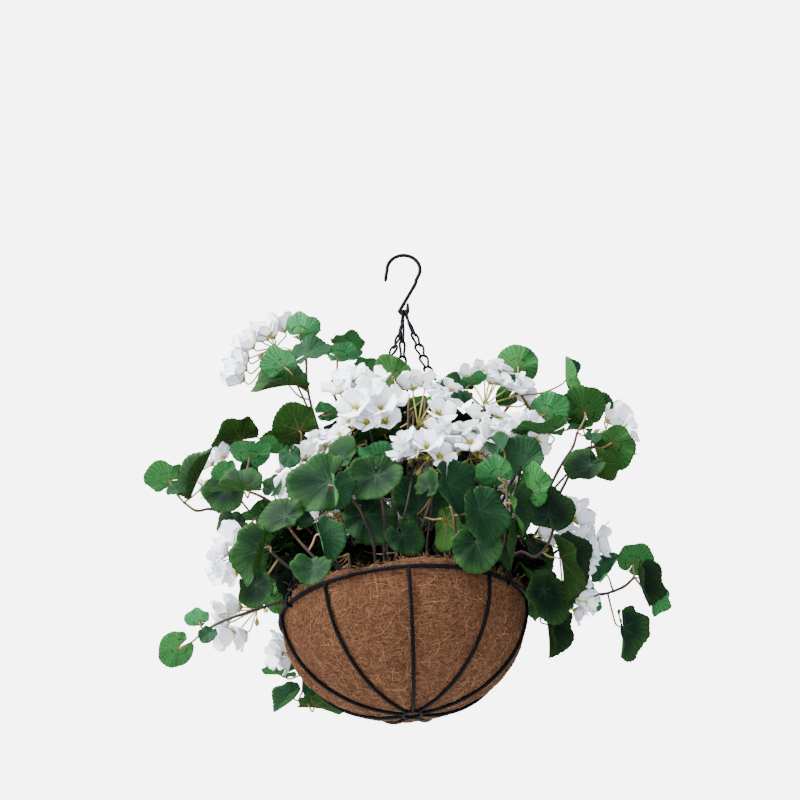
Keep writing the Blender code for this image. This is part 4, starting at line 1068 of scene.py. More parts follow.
def liner_bulge(turn, fall):
    """How far the liner swells out between the ribs, and its uneven matting, in metres."""
    phase = (turn - RIB_START) * RIB_COUNT / (2 * pi)
    between = sin(pi * (phase % 1)) ** 1.5
    spot = Vector((sin(turn) * cos(fall), cos(turn) * cos(fall), sin(fall)))
    rough = 0.9 * MM * noise.noise(spot * 9) + 0.7 * MM * noise.noise(spot * 34)
    return 3.2 * MM * between * min(1, cos(fall) * 1.3) * min(1, 0.3 + 2 * fall) + rough


def liner_outside(turn, fall, lip=0.0):
    """A point on the liner's outside; lip runs from 0 at the rim to 1 at its top edge."""
    swell = liner_bulge(turn, fall)
    point = bowl_point(LINER_RADIUS + swell, LINER_DEPTH + swell, turn, fall)
    ragged = lip_height(turn) + 1.6 * MM * noise.noise(Vector((sin(turn), cos(turn), 0)) * 23)
    return point + Vector((0, 0, lip * ragged))


def build_liner(coco):
    """The matted coco bowl, thick at its lip and swelling out between the wires."""
    sketch = Sketch()
    columns, rows = 216, 44
    outside = []
    marks = []
    profile = [("out", pi / 2 * (1 - row / rows) * 0.995, 0.0) for row in range(rows + 1)]
    profile += [("out", 0, lip) for lip in (0.3, 0.6, 0.85, 0.97)]
    profile += [("in", 0, lip) for lip in (1.0, 0.9, 0.6)]
    profile += [("in", fall, 0.0) for fall in (0.05, 0.2, 0.5, 0.9, 1.3, 1.55)]
    for side, fall, lip in profile:
        for column in range(columns):
            turn = 2 * pi * column / columns
            point = liner_outside(turn, fall, lip)
            if side == "in":
                rough = 1.5 * MM * noise.noise(Vector((sin(turn) * 8, cos(turn) * 8, fall * 6)))
                wall = LINER_WALL * (1 if lip < 0.95 else 0.7) + rough
                point = bowl_point(LINER_RADIUS - wall, LINER_DEPTH - wall, turn, fall)
                point += Vector((0, 0, lip * lip_height(turn)))
            outside.append(BASKET @ point)
            marks.append((turn, fall, lip))
    faces = []
    for row in range(len(profile) - 1):
        for column in range(columns):
            after = (column + 1) % columns
            faces.append((row * columns + column, row * columns + after, (row + 1) * columns + after, (row + 1) * columns + column))
    faces.append([column for column in reversed(range(columns))])
    faces.append([(len(profile) - 1) * columns + column for column in range(columns)])
    sketch.add(outside, faces, 0, marks)
    sketch.finish("coco_mat", [coco], ["coco_liner"])


def build_fibres(name, material, count, lengths, lip, draw):
    """Loose coco fibres: curved strands lying on the mat, or standing out of its lip."""
    sketch = Sketch()
    for _ in range(count):
        turn = draw.uniform(0, 2 * pi)
        length = draw.uniform(*lengths) * (LONG_FIBRE if draw.random() < 0.08 and not lip else 1)
        if lip:
            height = draw.uniform(0.35, 1.0)
            start = liner_outside(turn, 0, height)
            lean = draw.gauss(0, 1.0)
            tangent = Vector((cos(turn), sin(turn), 0))
            outward = Vector((sin(turn), -cos(turn), 0))
            way = (tangent * lean + outward * draw.uniform(-0.5, 0.35) + Vector((0, 0, draw.uniform(0.0, 0.8)))).normalized()
            curl = Vector((draw.gauss(0, 1), draw.gauss(0, 1), draw.gauss(-0.2, 0.6))) * (0.35 * length)
            points = [start - way * (2 * MM), start + way * (0.35 * length) + curl * 0.15]
            points += [start + way * (0.7 * length) + curl * 0.5, start + way * length + curl]
        else:
            fall = draw.uniform(0.02, 1.45)
            angle = draw.uniform(0, 2 * pi)
            bend = draw.gauss(0, 1.6)
            points = []
            for step in range(6):
                share = step / 5 - 0.5
                points.append(liner_outside(turn, fall))
                heading = angle + bend * share
                turn += cos(heading) * length / 5 / (LINER_RADIUS * max(0.12, cos(fall)))
                fall = min(1.5, max(0.01, fall + sin(heading) * length / 5 / LINER_DEPTH))
            middle = Vector((0, 0, -0.3 * LINER_DEPTH))
            lifts = [-0.2, 0.25, draw.uniform(0.2, 0.9), draw.uniform(0.2, 0.9), 0.25, -0.2]
            points = [point + (point - middle).normalized() * (lift * MM) for point, lift in zip(points, lifts)]
        coarse = draw.random() ** 2
        thick = (draw.uniform(0.08, 0.15) if lip else 0.12 + 0.16 * coarse) * MM
        path = [BASKET @ point for point in (smooth_path(points, 2) if lip else points)]
        radii = [thick * (0.5 if step in (0, len(path) - 1) else 1) for step in range(len(path))]
        tube(sketch, path, radii, 3, 0, draw.random() if lip else 0.3 * draw.random() + 0.7 * coarse)
    sketch.finish(name, [material])


def build_soil(soil):
    """The crumbly top of the potting soil and its body down in the liner."""
    sketch = Sketch()
    columns, rows = 96, 24
    radius = LINER_RADIUS - LINER_WALL + 0.5 * MM
    depth = LINER_DEPTH - LINER_WALL
    points = []
    for row in range(rows + 1):
        share = row / rows
        for column in range(columns):
            turn = 2 * pi * column / columns
            spot = Vector((sin(turn), -cos(turn), 0)) * (radius * max(share, 0.004) * 0.995)
            rough = 2.2 * MM * noise.noise(spot * 60) + 1.3 * MM * noise.noise(spot * 190)
            points.append(BASKET @ (spot + Vector((0, 0, rough - SOIL_DROP))))
    for fall in (0.25, 0.5, 0.8, 1.1, 1.4, 1.56):
        for column in range(columns):
            points.append(BASKET @ bowl_point(radius * 0.995, depth, 2 * pi * column / columns, fall))
    total = rows + 1 + 6
    faces = []
    for row in range(total - 1):
        for column in range(columns):
            after = (column + 1) % columns
            faces.append(((row + 1) * columns + column, (row + 1) * columns + after, row * columns + after, row * columns + column))
    faces.append([column for column in range(columns)])
    faces.append([(total - 1) * columns + column for column in reversed(range(columns))])
    sketch.add(points, faces, 0)
    sketch.finish("soil_crumbs", [soil], ["soil"])


class Shader:
    """A material's node tree with short calls for its nodes."""

    def __init__(self, name, roughness, **settings):
        self.material = bpy.data.materials.new(name)
        self.material.use_nodes = True
        self.tree = self.material.node_tree
        self.surface = self.tree.nodes["Principled BSDF"]
        self.surface.inputs["Roughness"].default_value = roughness
        for socket, value in settings.items():
            self.surface.inputs[socket.replace("_", " ")].default_value = value

    def node(self, kind, **settings):
        made = self.tree.nodes.new("ShaderNode" + kind)
        for key, value in settings.items():
            setattr(made, key, value)
        return made

    def put(self, value, socket):
        if isinstance(value, bpy.types.NodeSocket):
            self.tree.links.new(value, socket)
        else:
            socket.default_value = value

    def math(self, operation, *values):
        made = self.node("Math", operation=operation)
        for value, socket in zip(values, made.inputs):
            self.put(value, socket)
        return made.outputs[0]

    def ramp(self, value, low, high, start=0.0, end=1.0):
        """A smooth step from start to end as value goes from low to high."""
        made = self.node("MapRange", interpolation_type="SMOOTHSTEP")
        for number, item in enumerate((value, low, high, start, end)):
            self.put(item, made.inputs[number])
        return made.outputs[0]

    def mix(self, share, first, second):
        made = self.node("Mix", data_type="RGBA")
        self.put(share, made.inputs[0])
        for colour, socket in ((first, made.inputs[6]), (second, made.inputs[7])):
            self.put((*colour, 1) if isinstance(colour, tuple) else colour, socket)
        return made.outputs[2]

    def mark(self):
        """The mark attribute's three parts."""
        split = self.node("SeparateXYZ")
        self.tree.links.new(self.node("Attribute", attribute_name="mark").outputs["Vector"], split.inputs[0])
        return split.outputs

    def tint(self):
        return self.node("Attribute", attribute_name="tint").outputs["Fac"]

    def noise(self, scale, detail=3.0, stretch=None, distortion=0.0):
        """Noise by object position, drawn out by a stretch along the three axes."""
        made = self.node("TexNoise")
        made.inputs["Scale"].default_value = scale
        made.inputs["Detail"].default_value = detail
        made.inputs["Distortion"].default_value = distortion
        mapping = self.node("Mapping")
        if stretch:
            mapping.inputs["Scale"].default_value = stretch
        self.tree.links.new(self.node("TexCoord").outputs["Object"], mapping.inputs["Vector"])
        self.tree.links.new(mapping.outputs[0], made.inputs["Vector"])
        return made.outputs["Fac"]

    def bump(self, height, strength, distance):
        made = self.node("Bump")
        made.inputs["Strength"].default_value = strength
        made.inputs["Distance"].default_value = distance
        self.tree.links.new(height, made.inputs["Height"])
        self.tree.links.new(made.outputs[0], self.surface.inputs["Normal"])

    def colour(self, value):
        self.put(value, self.surface.inputs["Base Color"])
        return self.material


def steel_look():
    shader = Shader("black_coated_steel_look", 0.4, Specular_IOR_Level=0.05)
    patches = shader.noise(60, 4)
    speckle = shader.noise(900, 2)
    base = shader.mix(shader.ramp(patches, 0.35, 0.7), (0.0007, 0.0009, 0.0018), (0.0020, 0.0026, 0.0046))
    worn = shader.ramp(speckle, 0.66, 0.78, 0.0, 0.3)
    base = shader.mix(worn, base, (0.009, 0.010, 0.014))
    shader.put(shader.ramp(patches, 0.3, 0.7, 0.34, 0.5), shader.surface.inputs["Roughness"])
    run, turn, _ = shader.mark()
    wound = shader.math("SINE", shader.math("ADD", shader.math("MULTIPLY", run, 2 * pi / WINDING), turn))
    base = shader.mix(shader.ramp(wound, 0.2, 1.0, 0.0, 0.3), base, (0.006, 0.0075, 0.012))
    shader.bump(shader.math("ADD", speckle, wound), 0.3, 0.0003)
    return shader.colour(base)


def coco_look():
    shader = Shader("coco_fibre_look", 0.95, Specular_IOR_Level=0.03)
    streaks = []
    for scale, stretch in ((640, (1, 1, 0.1)), (700, (0.1, 1, 1)), (600, (1, 0.12, 1)), (800, (0.16, 0.16, 1))):
        streaks.append(shader.noise(scale, 3, stretch, 0.8))
    weave = shader.math("MAXIMUM", shader.math("MAXIMUM", streaks[0], streaks[1]), shader.math("MAXIMUM", streaks[2], streaks[3]))
    patch = shader.noise(26, 4)
    base = shader.mix(shader.ramp(weave, 0.46, 0.74), (0.0215, 0.0092, 0.0046), (0.160, 0.0735, 0.0385))
    base = shader.mix(shader.ramp(patch, 0.35, 0.7, 0.0, 0.3), base, (0.048, 0.0195, 0.0105))
    gold = shader.math("MULTIPLY", shader.ramp(shader.noise(420, 2, (0.1, 1, 1), 1.2), 0.62, 0.72), 0.4)
    base = shader.mix(gold, base, (0.30, 0.150, 0.078))
    shader.bump(weave, 0.8, 0.0012)
    return shader.colour(base)


def strand_look(name, dark, light):
    shader = Shader(name, 0.7, Specular_IOR_Level=0.12)
    base = shader.mix(shader.tint(), dark, light)
    fleck = shader.noise(500, 2)
    base = shader.mix(shader.ramp(fleck, 0.4, 0.7, 0.0, 0.35), base, tuple(0.6 * part for part in dark))
    shader.bump(fleck, 0.3, 0.0002)
    return shader.colour(base)


def soil_look():
    shader = Shader("potting_soil_look", 1.0)
    crumbs = shader.noise(260, 5)
    lumps = shader.noise(70, 3)
    base = shader.mix(shader.ramp(crumbs, 0.35, 0.7), (0.006, 0.004, 0.003), (0.045, 0.028, 0.018))
    base = shader.mix(shader.ramp(lumps, 0.55, 0.75, 0.0, 0.5), base, (0.07, 0.045, 0.03))
    shader.bump(crumbs, 1.0, 0.003)
    return shader.colour(base)


def bark_look():
    shader = Shader("stem_bark_look", 0.62, Specular_IOR_Level=0.1)
    _, turn, share = shader.mark()
    grain = shader.noise(700, 3, (1, 1, 0.25))
    patch = shader.noise(45, 3)
    low = shader.mix(patch, (0.016, 0.0095, 0.010), (0.036, 0.024, 0.026))
    high = shader.mix(patch, (0.045, 0.026, 0.017), (0.10, 0.066, 0.036))
    base = shader.mix(shader.ramp(share, 0.75, 1.0), low, high)
    base = shader.mix(shader.ramp(grain, 0.5, 0.7, 0.0, 0.4), base, (0.065, 0.048, 0.047))
    shader.bump(grain, 0.5, 0.0005)
    return shader.colour(base)


def petiole_look():
    shader = Shader("petiole_look", 0.55, Specular_IOR_Level=0.2)
    _, _, share = shader.mark()
    patch = shader.noise(120, 3)
    base = shader.mix(shader.tint(), (0.13, 0.062, 0.028), (0.24, 0.175, 0.072))
    base = shader.mix(shader.ramp(share, 0.0, 0.35, 0.55, 0.0), base, (0.055, 0.034, 0.026))
    base = shader.mix(shader.ramp(patch, 0.4, 0.7, 0.0, 0.35), base, (0.30, 0.19, 0.085))
    shader.bump(patch, 0.3, 0.0004)
    return shader.colour(base)


def pedicel_look():
    shader = Shader("pedicel_look", 0.55)
    patch = shader.noise(160, 3)
    base = shader.mix(shader.tint(), (0.22, 0.22, 0.035), (0.36, 0.30, 0.055))
    base = shader.mix(shader.ramp(patch, 0.4, 0.7, 0.0, 0.5), base, (0.16, 0.11, 0.03))
    shader.bump(patch, 0.3, 0.0003)
    return shader.colour(base)


def vein_masks(shader):
    """Masks over a blade: its main veins, its side veins and the zone round its heart."""
    along, across, _ = shader.mark()
    square = shader.math("ADD", shader.math("MULTIPLY", along, along), shader.math("MULTIPLY", across, across))
    radius = shader.math("SQRT", square)
    angle = shader.math("ARCTAN2", across, along)
    sway = shader.math("MULTIPLY", shader.math("SUBTRACT", shader.noise(30, 2), 0.5), 1.1)
    phase = shader.math("ADD", shader.math("DIVIDE", angle, LOBE_STEP), shader.math("MULTIPLY", sway, radius))
    nearest = shader.math("ROUND", phase)
    off_angle = shader.math("MULTIPLY", shader.math("SUBTRACT", phase, nearest), LOBE_STEP)
    off = shader.math("ABSOLUTE", shader.math("MULTIPLY", radius, shader.math("SINE", off_angle)))
    run = shader.math("MULTIPLY", radius, shader.math("COSINE", off_angle))
    width = shader.ramp(radius, 0.0, 0.55, 0.016, 0.003)
    main = shader.ramp(shader.math("DIVIDE", off, width), 0.45, 1.25, 1.0, 0.0)
    wobble = shader.math("MULTIPLY", shader.noise(90, 2), 0.05)
    step = shader.math("ADD", shader.math("SUBTRACT", run, shader.math("MULTIPLY", off, 1.25)), wobble)
    phase2 = shader.math("FRACT", shader.math("DIVIDE", step, 0.085))
    line = shader.math("ABSOLUTE", shader.math("SUBTRACT", phase2, 0.5))
    side = shader.math("MULTIPLY", shader.ramp(line, 0.0, 0.09, 1.0, 0.0), shader.ramp(radius, 0.08, 0.16))
    return radius, angle, main, side


def leaf_look(name, roughness, colours, vein, side_vein, zone):
    """A blade's face: colours for its heart, patches, a light leaf (partly its own colour, partly painted light), the
    painted glow of a bright, backlit leaf, its edge and painted shade for the crown's inside.
    """
    shader = Shader(name, roughness, Specular_IOR_Level=0.06)
    radius, angle, main, side = vein_masks(shader)
    heart, patched, light, painted_backlight, margin, shade = colours
    patch = shader.noise(38, 4)
    fine = shader.noise(420, 4)
    tint = shader.tint()
    base = shader.mix(shader.ramp(patch, 0.32, 0.7), heart, patched)
    edge = shader.mark()[2]
    base = shader.mix(shader.ramp(shader.math("ADD", edge, shader.math("MULTIPLY", patch, 0.7)), 0.75, 1.35, 0.0, 0.85), base, margin)
    # Tint 0 to 1 moves to the light colour: partly the leaf's own lighter colour, partly painted light where it is
    # lit.
    base = shader.mix(shader.ramp(tint, 0.0, 1.0, 0.0, 0.9), base, light)
    # Tint 1 to 2 paints the glow of light shining through a backlit leaf.
    base = shader.mix(shader.ramp(tint, 1.0, 2.0, 0.0, 1.0), base, painted_backlight)
    base = shader.mix(shader.ramp(edge, 0.90, 1.0, 0.0, 0.55), base, margin)
    # Painted shade darkens the valleys between the leaf's ridges, from a little way out from its heart.
    turn = shader.math("MULTIPLY", angle, 2 * pi * RIDGES_PER_LOBE / LOBE_STEP)
    turn = shader.math("ADD", turn, shader.math("MULTIPLY", shader.noise(60, 3), 9.0))
    painted_valley_shade = shader.ramp(shader.math("COSINE", turn), 0.4, -0.9, 0.0, 0.34)
    painted_valley_shade = shader.math("MULTIPLY", painted_valley_shade, shader.ramp(radius, 0.12, 0.40))
    base = shader.mix(painted_valley_shade, base, tuple(0.5 * part for part in heart))
    base = shader.mix(shader.ramp(fine, 0.35, 0.75, 0.0, 0.35), base, tuple(0.6 * part for part in heart))
    ring = shader.math("ABSOLUTE", shader.math("SUBTRACT", radius, 0.22))
    broken = shader.ramp(shader.noise(150, 3), 0.42, 0.58)
    ring = shader.math("MULTIPLY", shader.ramp(ring, 0.008, 0.03, 1.0, 0.0), broken)
    base = shader.mix(shader.math("MULTIPLY", ring, zone[0]), base, zone[1])
    base = shader.mix(shader.math("MULTIPLY", side, side_vein[0]), base, side_vein[1])
    fade = shader.ramp(radius, vein[2], vein[3], vein[0], vein[0] * 0.15)
    base = shader.mix(shader.math("MULTIPLY", main, fade), base, vein[1])
    # A tint below 0 paints shade: the dark colour of a leaf in the crown's shade.
    base = shader.mix(shader.ramp(tint, 0.0, -1.0, 0.0, 0.92), base, shade)
    relief = shader.math("ADD", shader.math("MULTIPLY", main, 1.0), shader.math("MULTIPLY", side, 0.45))
    relief = shader.math("ADD", relief, shader.math("MULTIPLY", fine, 0.5))
    shader.bump(relief, 0.45, 0.0008 if name.endswith("under_look") else -0.0006)
    return shader.colour(base)


def petal_look():
    shader = Shader("petal_look", 0.6, Sheen_Weight=0.2, Sheen_Roughness=0.4)
    shader.surface.inputs["Subsurface Weight"].default_value = 0.25
    shader.surface.inputs["Subsurface Radius"].default_value = (0.004, 0.004, 0.004)
    shader.surface.inputs["Subsurface Scale"].default_value = 1.0
    share, across, _ = shader.mark()
    ribs = shader.math("ABSOLUTE", shader.math("SINE", shader.math("MULTIPLY", across, 14.0)))
    soft = shader.noise(90, 3)
    base = shader.mix(shader.tint(), (0.84, 0.88, 0.98), (0.92, 0.94, 0.98))
    base = shader.mix(shader.ramp(soft, 0.35, 0.7, 0.0, 0.35), base, (0.78, 0.83, 0.97))
    lines = shader.math("MULTIPLY", shader.ramp(ribs, 0.0, 0.25, 1.0, 0.0), shader.ramp(share, 0.9, 0.3, 0.0, 0.25))
    base = shader.mix(lines, base, (0.66, 0.70, 0.74))
    reach = shader.math("ADD", share, shader.math("MULTIPLY", shader.math("ABSOLUTE", across), 0.10))
    base = shader.mix(shader.ramp(reach, 0.12, 0.38, 0.9, 0.0), base, (0.60, 0.56, 0.07))
    base = shader.mix(shader.ramp(reach, 0.04, 0.22, 0.95, 0.0), base, (0.24, 0.22, 0.012))
    shader.bump(ribs, 0.2, 0.0006)
    return shader.colour(base)


def stamen_look():
    shader = Shader("stamen_look", 0.6)
    base = shader.mix(shader.tint(), (0.50, 0.42, 0.030), (0.24, 0.23, 0.015))
    shader.bump(shader.noise(900, 2), 0.4, 0.0003)
    return shader.colour(base)


def floor_look():
    shader = Shader("floor_look", 0.8)
    soft = shader.noise(3, 2)
    return shader.colour(shader.mix(soft, (0.80, 0.80, 0.80), (0.84, 0.84, 0.84)))


# The crown as seen from the front, in mm across and up from the rim's centre: fill leaves stay inside.
CROWN_OUTLINE = [
    (-205, 110), (-190, 165), (-160, 205), (-120, 230), (-88, 262), (-66, 285), (0, 288), (45, 272),
    (85, 262), (130, 250), (185, 232), (205, 205), (172, 178), (168, 135), (190, 110), (188, 60),
    (155, 30), (145, 8), (-145, 8), (-162, 60), (-195, 85),
]
FILL_STEMS = 40
FILL_LEAVES = 8
LOW_STEMS = 34
LOW_LEAVES = 5
HIGH_LEAVES = 6
# The tone of leaves deep inside the crown: it paints them with shade.
PAINTED_SHADE_TONE = -0.9
# Tall stems behind the flowers: the seen (across, up, depth) of each tip, in mm.
HIGH_STEMS = [
    (-50, 240, 60), (-20, 252, 90), (12, 246, 50), (32, 228, 95), (56, 250, 62), (86, 240, 84), (112, 230, 52),
    (140, 218, 62), (-74, 220, 92), (6, 268, 36), (26, 262, 42), (84, 258, 50), (0, 214, 122), (70, 210, 112), (20, 262, 110), (-40, 205, 130),
]
# Umbels behind the crown's middle and on the far side: (azimuth, reach in mm, height in mm), florets.
FILL_BLOOMS = [
    ((150, 60, 232), 6), ((-165, 95, 215), 7), ((175, 150, 165), 7), ((-120, 150, 150), 6),
    ((110, 150, 175), 6), ((150, 205, 60), 6), ((-160, 215, 40), 6), ((60, 95, 195), 6), ((-75, 95, 205), 5),
]


def inside(across, up):
    """Whether a seen place lies in the crown's outline."""
    hit = False
    for (x0, y0), (x1, y1) in zip(CROWN_OUTLINE, CROWN_OUTLINE[1:] + CROWN_OUTLINE[:1]):
        if (y0 > up) != (y1 > up) and across < x0 + (x1 - x0) * (up - y0) / (y1 - y0):
            hit = not hit
    return hit


def hidden_enough(place, size):
    """Whether a blade of this size stays in the seen outline, and behind the front leaves and flowers."""
    across, up = sight(place)
    depth = place.y / MM
    half = size / MM * 0.5
    corners = [(across + dx * half, up + dy * half) for dx, dy in ((-1, 0), (1, 0), (0, -1), (0, 1))]
    low = place.z < -RIM_DROP + 0.018 and place.xy.length < RIM_RADIUS + 0.03
    shut = depth > -48 if up < 150 else depth > -20 if up < 215 else depth > 15
    behind = depth > 100 and abs(across) < 150 and up < 150
    return not low and shut and (behind or all(inside(*corner) for corner in corners))


def fill_stem(draw, number):
    """A stem of the dense inner growth, from the soil up and outwards."""
    azimuth = degrees(2.399963 * number) + draw.uniform(-12, 12)
    turn = radians(azimuth)
    reach = 22 + 88 * sqrt((number % FILL_STEMS + 0.5) / FILL_STEMS)
    hole = (reach * sin(turn), -reach * cos(turn))
    back = 0.5 - 0.5 * cos(turn)
    out = reach + draw.uniform(18, 60) + 70 * back * draw.uniform(0.4, 1)
    height = draw.uniform(0.62, 1.0) * (215 - 0.5 * out) * (1 - 0.1 * back)
    stem = []
    for share, rise in ((0.25, 0.35), (0.55, 0.72), (1.0, 1.0)):
        away = reach + (out - reach) * share
        stem.append(around(azimuth + draw.uniform(-6, 6), away, height * rise))
    return hole, stem, azimuth


def low_stem(draw, number):
    """A short stem of the undergrowth, which hides the soil."""
    azimuth = degrees(2.399963 * number) + draw.uniform(-12, 12)
    turn = radians(azimuth)
    reach = 25 + 95 * sqrt((number + 0.5) / LOW_STEMS)
    out = reach + draw.uniform(4, 24)
    height = draw.uniform(38, 70)
    stem = [around(azimuth, reach + (out - reach) * share, height * share) for share in (0.3, 0.65, 1.0)]
    return (reach * sin(turn), -reach * cos(turn)), stem, azimuth


def fill_blades(draw, stem, azimuth, count, sizes):
    """Blades round an inner stem, each where the front leaves hide it; those of the crown's inside get painted shade.
    """
    blades = []
    for _ in range(count):
        for _ in range(14):
            start = stem[0].lerp(stem[-1], draw.uniform(0.0, 1))
            swing = radians(azimuth + draw.gauss(0, 65))
            ahead = Vector((sin(swing), -cos(swing), draw.uniform(-0.25, 0.5))).normalized()
            size = draw.uniform(*sizes) * MM
            middle = start + ahead * (draw.uniform(10, 30) * MM + size / 2)
            if hidden_enough(middle, size):
                face = looking(degrees(swing) + draw.gauss(0, 25), draw.uniform(20, 75))
                outer = middle.y > 75 * MM or middle.xy.length > 150 * MM
                tone = draw.uniform(0, 0.6) if outer else PAINTED_SHADE_TONE
                blades.append((blade_frame(middle, ahead, face, size), size, draw.uniform(5, 30), tone))
                break
    return blades


def build_fill(materials):
    """The inner growth that the front leaves hide: leafy stems and umbels placed by a seeded rule."""
    made = 0
    for number in range(FILL_STEMS + LOW_STEMS):
        draw = random.Random(f"fill {number}")
        low = number >= FILL_STEMS
        hole, stem, azimuth = low_stem(draw, number - FILL_STEMS) if low else fill_stem(draw, number)
        if not low and not all(hidden_enough(point, 4 * MM) for point in stem[1:]):
            continue
        blades = fill_blades(draw, stem, azimuth, *((LOW_LEAVES, (42, 60)) if low else (FILL_LEAVES, (46, 74))))
        if blades:
            build_spray(f"inner_{number + 1}", rooted(hole, stem), blades, materials, (), INNER_BLADE)
            made += len(blades)
    for number, tip in enumerate(HIGH_STEMS):
        draw = random.Random(f"high {number}")
        top = seen(*tip)
        hole = (0.35 * tip[0], 45 + 0.25 * tip[2])
        foot = in_basket(hole[0] * MM, hole[1] * MM, 0)
        stem = [foot.lerp(top, share) + Vector((0, 0, bow)) * MM for share, bow in ((0.35, 12), (0.7, 10), (1, 0))]
        blades = fill_blades(draw, stem[1:], degrees(atan2(tip[0], -tip[2])), HIGH_LEAVES, (44, 64))
        build_spray(f"inner_high_{number + 1}", rooted(hole, stem), blades, materials, (), INNER_BLADE)
        made += len(blades)
    for number, ((azimuth, reach, height), florets) in enumerate(FILL_BLOOMS):
        stem = rear_stem(azimuth, reach, height)
        path = rooted(rear_hole(azimuth, min(70, reach)), stem)
        florets = [(place, FLORET_SIZE) for place in rear_florets(stem[-1], azimuth, florets)]
        build_bloom(f"inner_bloom_{number + 1}", path, florets, materials, ())
    return made


def dress_rear(stem, azimuth, draw):
    """More leaves on a stem of the far side, to the density of the front."""
    blades = []
    for _ in range(6):
        share = draw.uniform(0.0, 1)
        start = stem[0].lerp(stem[-1], share)
        swing = radians(azimuth + draw.gauss(0, 50))
        ahead = Vector((sin(swing), -cos(swing), draw.uniform(-0.5, 0.6))).normalized()
        size = draw.uniform(46, 70) * MM
        middle = start + ahead * (draw.uniform(10, 26) * MM + size / 2)
        face = looking(degrees(swing) + draw.gauss(0, 20), draw.uniform(10, 65))
        if middle.y < 0.235 and middle.z > -RIM_DROP - 0.02:
            blades.append((blade_frame(middle, ahead, face, size), size, draw.uniform(5, 30), None))
    return blades


def area_light(name, place, aim, size, power, colour):
    data = bpy.data.lights.new(name, "AREA")
    data.shape = "DISK"
    data.size = size
    data.energy = power
    data.color = colour
    made = bpy.data.objects.new(name, data)
    made.location = place
    made.rotation_euler = (Vector(aim) - Vector(place)).to_track_quat("-Z", "Y").to_euler()
    bpy.context.scene.collection.objects.link(made)


def build_studio():
    """The camera where the photographer stood, soft lights, a pale floor and a white surround."""
    data = bpy.data.cameras.new("camera")
    data.lens = 106.6
    camera = bpy.data.objects.new("camera", data)
    camera.location = VIEWER
    camera.rotation_euler = (pi / 2 + LOOK_UP, 0, 0)
    bpy.context.scene.collection.objects.link(camera)
    bpy.context.scene.camera = camera
    world = bpy.data.worlds.new("studio")
    world.use_nodes = True
    tree = world.node_tree
    soft = tree.nodes["Background"]
    soft.inputs["Color"].default_value = (0.89, 0.94, 1.0, 1)
    soft.inputs["Strength"].default_value = 1.4
    surround = tree.nodes.new("ShaderNodeBackground")
    surround.inputs["Color"].default_value = (1, 1, 1, 1)
    surround.inputs["Strength"].default_value = 6.5
    choose = tree.nodes.new("ShaderNodeMixShader")
    tree.links.new(tree.nodes.new("ShaderNodeLightPath").outputs["Is Camera Ray"], choose.inputs[0])
    tree.links.new(soft.outputs[0], choose.inputs[1])
    tree.links.new(surround.outputs[0], choose.inputs[2])
    tree.links.new(choose.outputs[0], tree.nodes["World Output"].inputs["Surface"])
    bpy.context.scene.world = world
    area_light("sky", (-1.5, -1.1, 1.5), (0, 0, -0.4), 1.6, 330, (1.0, 0.995, 0.98))
    area_light("side", (-2.2, -1.4, -0.9), (0, 0, -0.5), 1.6, 74, (1.0, 1.0, 1.0))
    area_light("front", (0.2, -2.8, -0.6), (0, 0, -0.4), 1.6, 30, (1.0, 1.0, 1.0))
    floor = Sketch()
    half, level = 30.0, -2.3
    floor.add([(-half, -half, level), (half, -half, level), (half, half, level), (-half, half, level)], [(0, 1, 2, 3)], 0)
    mesh = bpy.data.meshes.new("floor")
    mesh.from_pydata(floor.points[0].tolist(), [], floor.faces)
    mesh.materials.append(floor_look())
    ground = bpy.data.objects.new("floor", mesh)
    bpy.context.scene.collection.objects.link(ground)


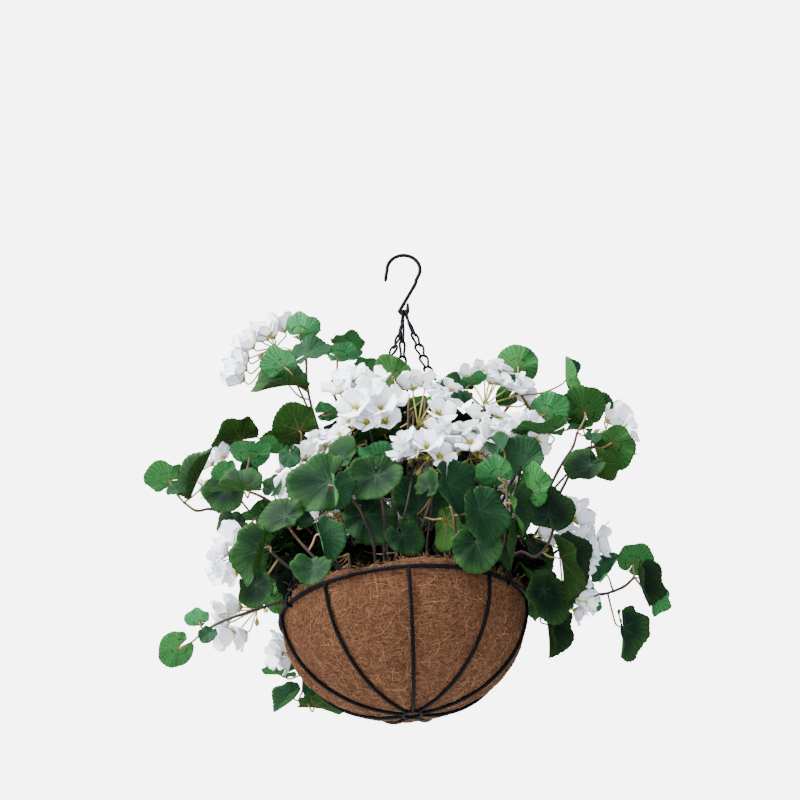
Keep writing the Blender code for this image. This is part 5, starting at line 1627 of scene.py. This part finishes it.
def main():
    materials = {
        "stem_bark": bark_look(),
        "petiole": petiole_look(),
        "pedicel": pedicel_look(),
        # Each face's colours: heart, patches, light (partly painted light), painted backlight glow, edge and painted
        # shade.
        "leaf_upper": leaf_look(
            "leaf_upper_look", 0.65,
            [
                (0.0030, 0.0125, 0.0064), (0.0040, 0.0160, 0.0064), (0.0110, 0.0450, 0.0180),
                (0.0260, 0.0950, 0.0400), (0.0170, 0.0580, 0.0120), (0.0006, 0.0022, 0.0008),
            ],
            (0.32, (0.030, 0.070, 0.034), 0.04, 0.30), (0.18, (0.010, 0.038, 0.012)),
            (0.3, (0.0012, 0.0070, 0.0030)),
        ),
        "leaf_under": leaf_look(
            "leaf_under_look", 0.75,
            [
                (0.0098, 0.0350, 0.0052), (0.0130, 0.0490, 0.0080), (0.0290, 0.1500, 0.0400),
                (0.0720, 0.3300, 0.1250), (0.0190, 0.0560, 0.0080), (0.0010, 0.0026, 0.0008),
            ],
            (0.55, (0.085, 0.062, 0.016), 0.3, 0.5), (0.2, (0.030, 0.068, 0.014)),
            (0.75, (0.006, 0.012, 0.006)),
        ),
        "petal": petal_look(),
        "stamen": stamen_look(),
    }
    steel = steel_look()
    build_hook(steel)
    for name, azimuth in CHAIN_AZIMUTHS.items():
        build_chain(name, azimuth, steel)
    build_frame(steel)
    build_liner(coco_look())
    draw = random.Random(7)
    strands = strand_look("coco_strand_look", (0.052, 0.0225, 0.0120), (0.39, 0.195, 0.098))
    build_fibres("coco_strands", strands, 3600, (9 * MM, 36 * MM), False, draw)
    golden = strand_look("coco_lip_look", (0.085, 0.038, 0.019), (0.33, 0.180, 0.098))
    build_fibres("coco_lip_strands", golden, 1200, (5 * MM, 15 * MM), True, draw)
    build_soil(soil_look())
    for name, spray in SPRAYS.items():
        path = rooted(spray.hole, [seen(*point) for point in spray.stem])
        blades = []
        for leaf in spray.leaves:
            tip = radians(leaf.tip)
            ahead = RIGHT * cos(tip) + UP * sin(tip)
            size = leaf.size * MM
            middle = seen(leaf.across, leaf.up, leaf.depth)
            face = looking(leaf.faces, leaf.rise)
            blades.append((blade_frame(middle, ahead, face, size), size, leaf.fold, leaf.tone))
        build_spray(name, path, blades, materials, [name])
    for name, bloom in BLOOMS.items():
        path = rooted(bloom.hole, [seen(*point) for point in bloom.stem])
        florets = [(seen(*spot[:3]), spot[3] * MM if len(spot) > 3 else FLORET_SIZE) for spot in bloom.florets]
        turned = looking(*bloom.faces) * FACING_PULL if bloom.faces else Vector()
        build_bloom(name, path, florets, materials, [name], turned, bloom.cup)
    for name, (azimuth, reach, height) in REAR_SPRAYS.items():
        stem = rear_stem(azimuth, reach, height)
        draw = random.Random(name + " more")
        blades = rear_blades(stem, azimuth) + dress_rear(stem, azimuth, draw)
        build_spray(name, rooted(rear_hole(azimuth, REAR_SPRAY_HOLE), stem), blades, materials, [name])
    for name, (azimuth, reach, height) in REAR_BLOOMS.items():
        stem = rear_stem(azimuth, reach, height)
        path = rooted(rear_hole(azimuth, REAR_BLOOM_HOLE), stem)
        florets = [(place, FLORET_SIZE) for place in rear_florets(stem[-1], azimuth)]
        build_bloom(name, path, florets, materials, [name])
    print("fill stems", build_fill(materials))
    build_studio()


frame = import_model()
main()
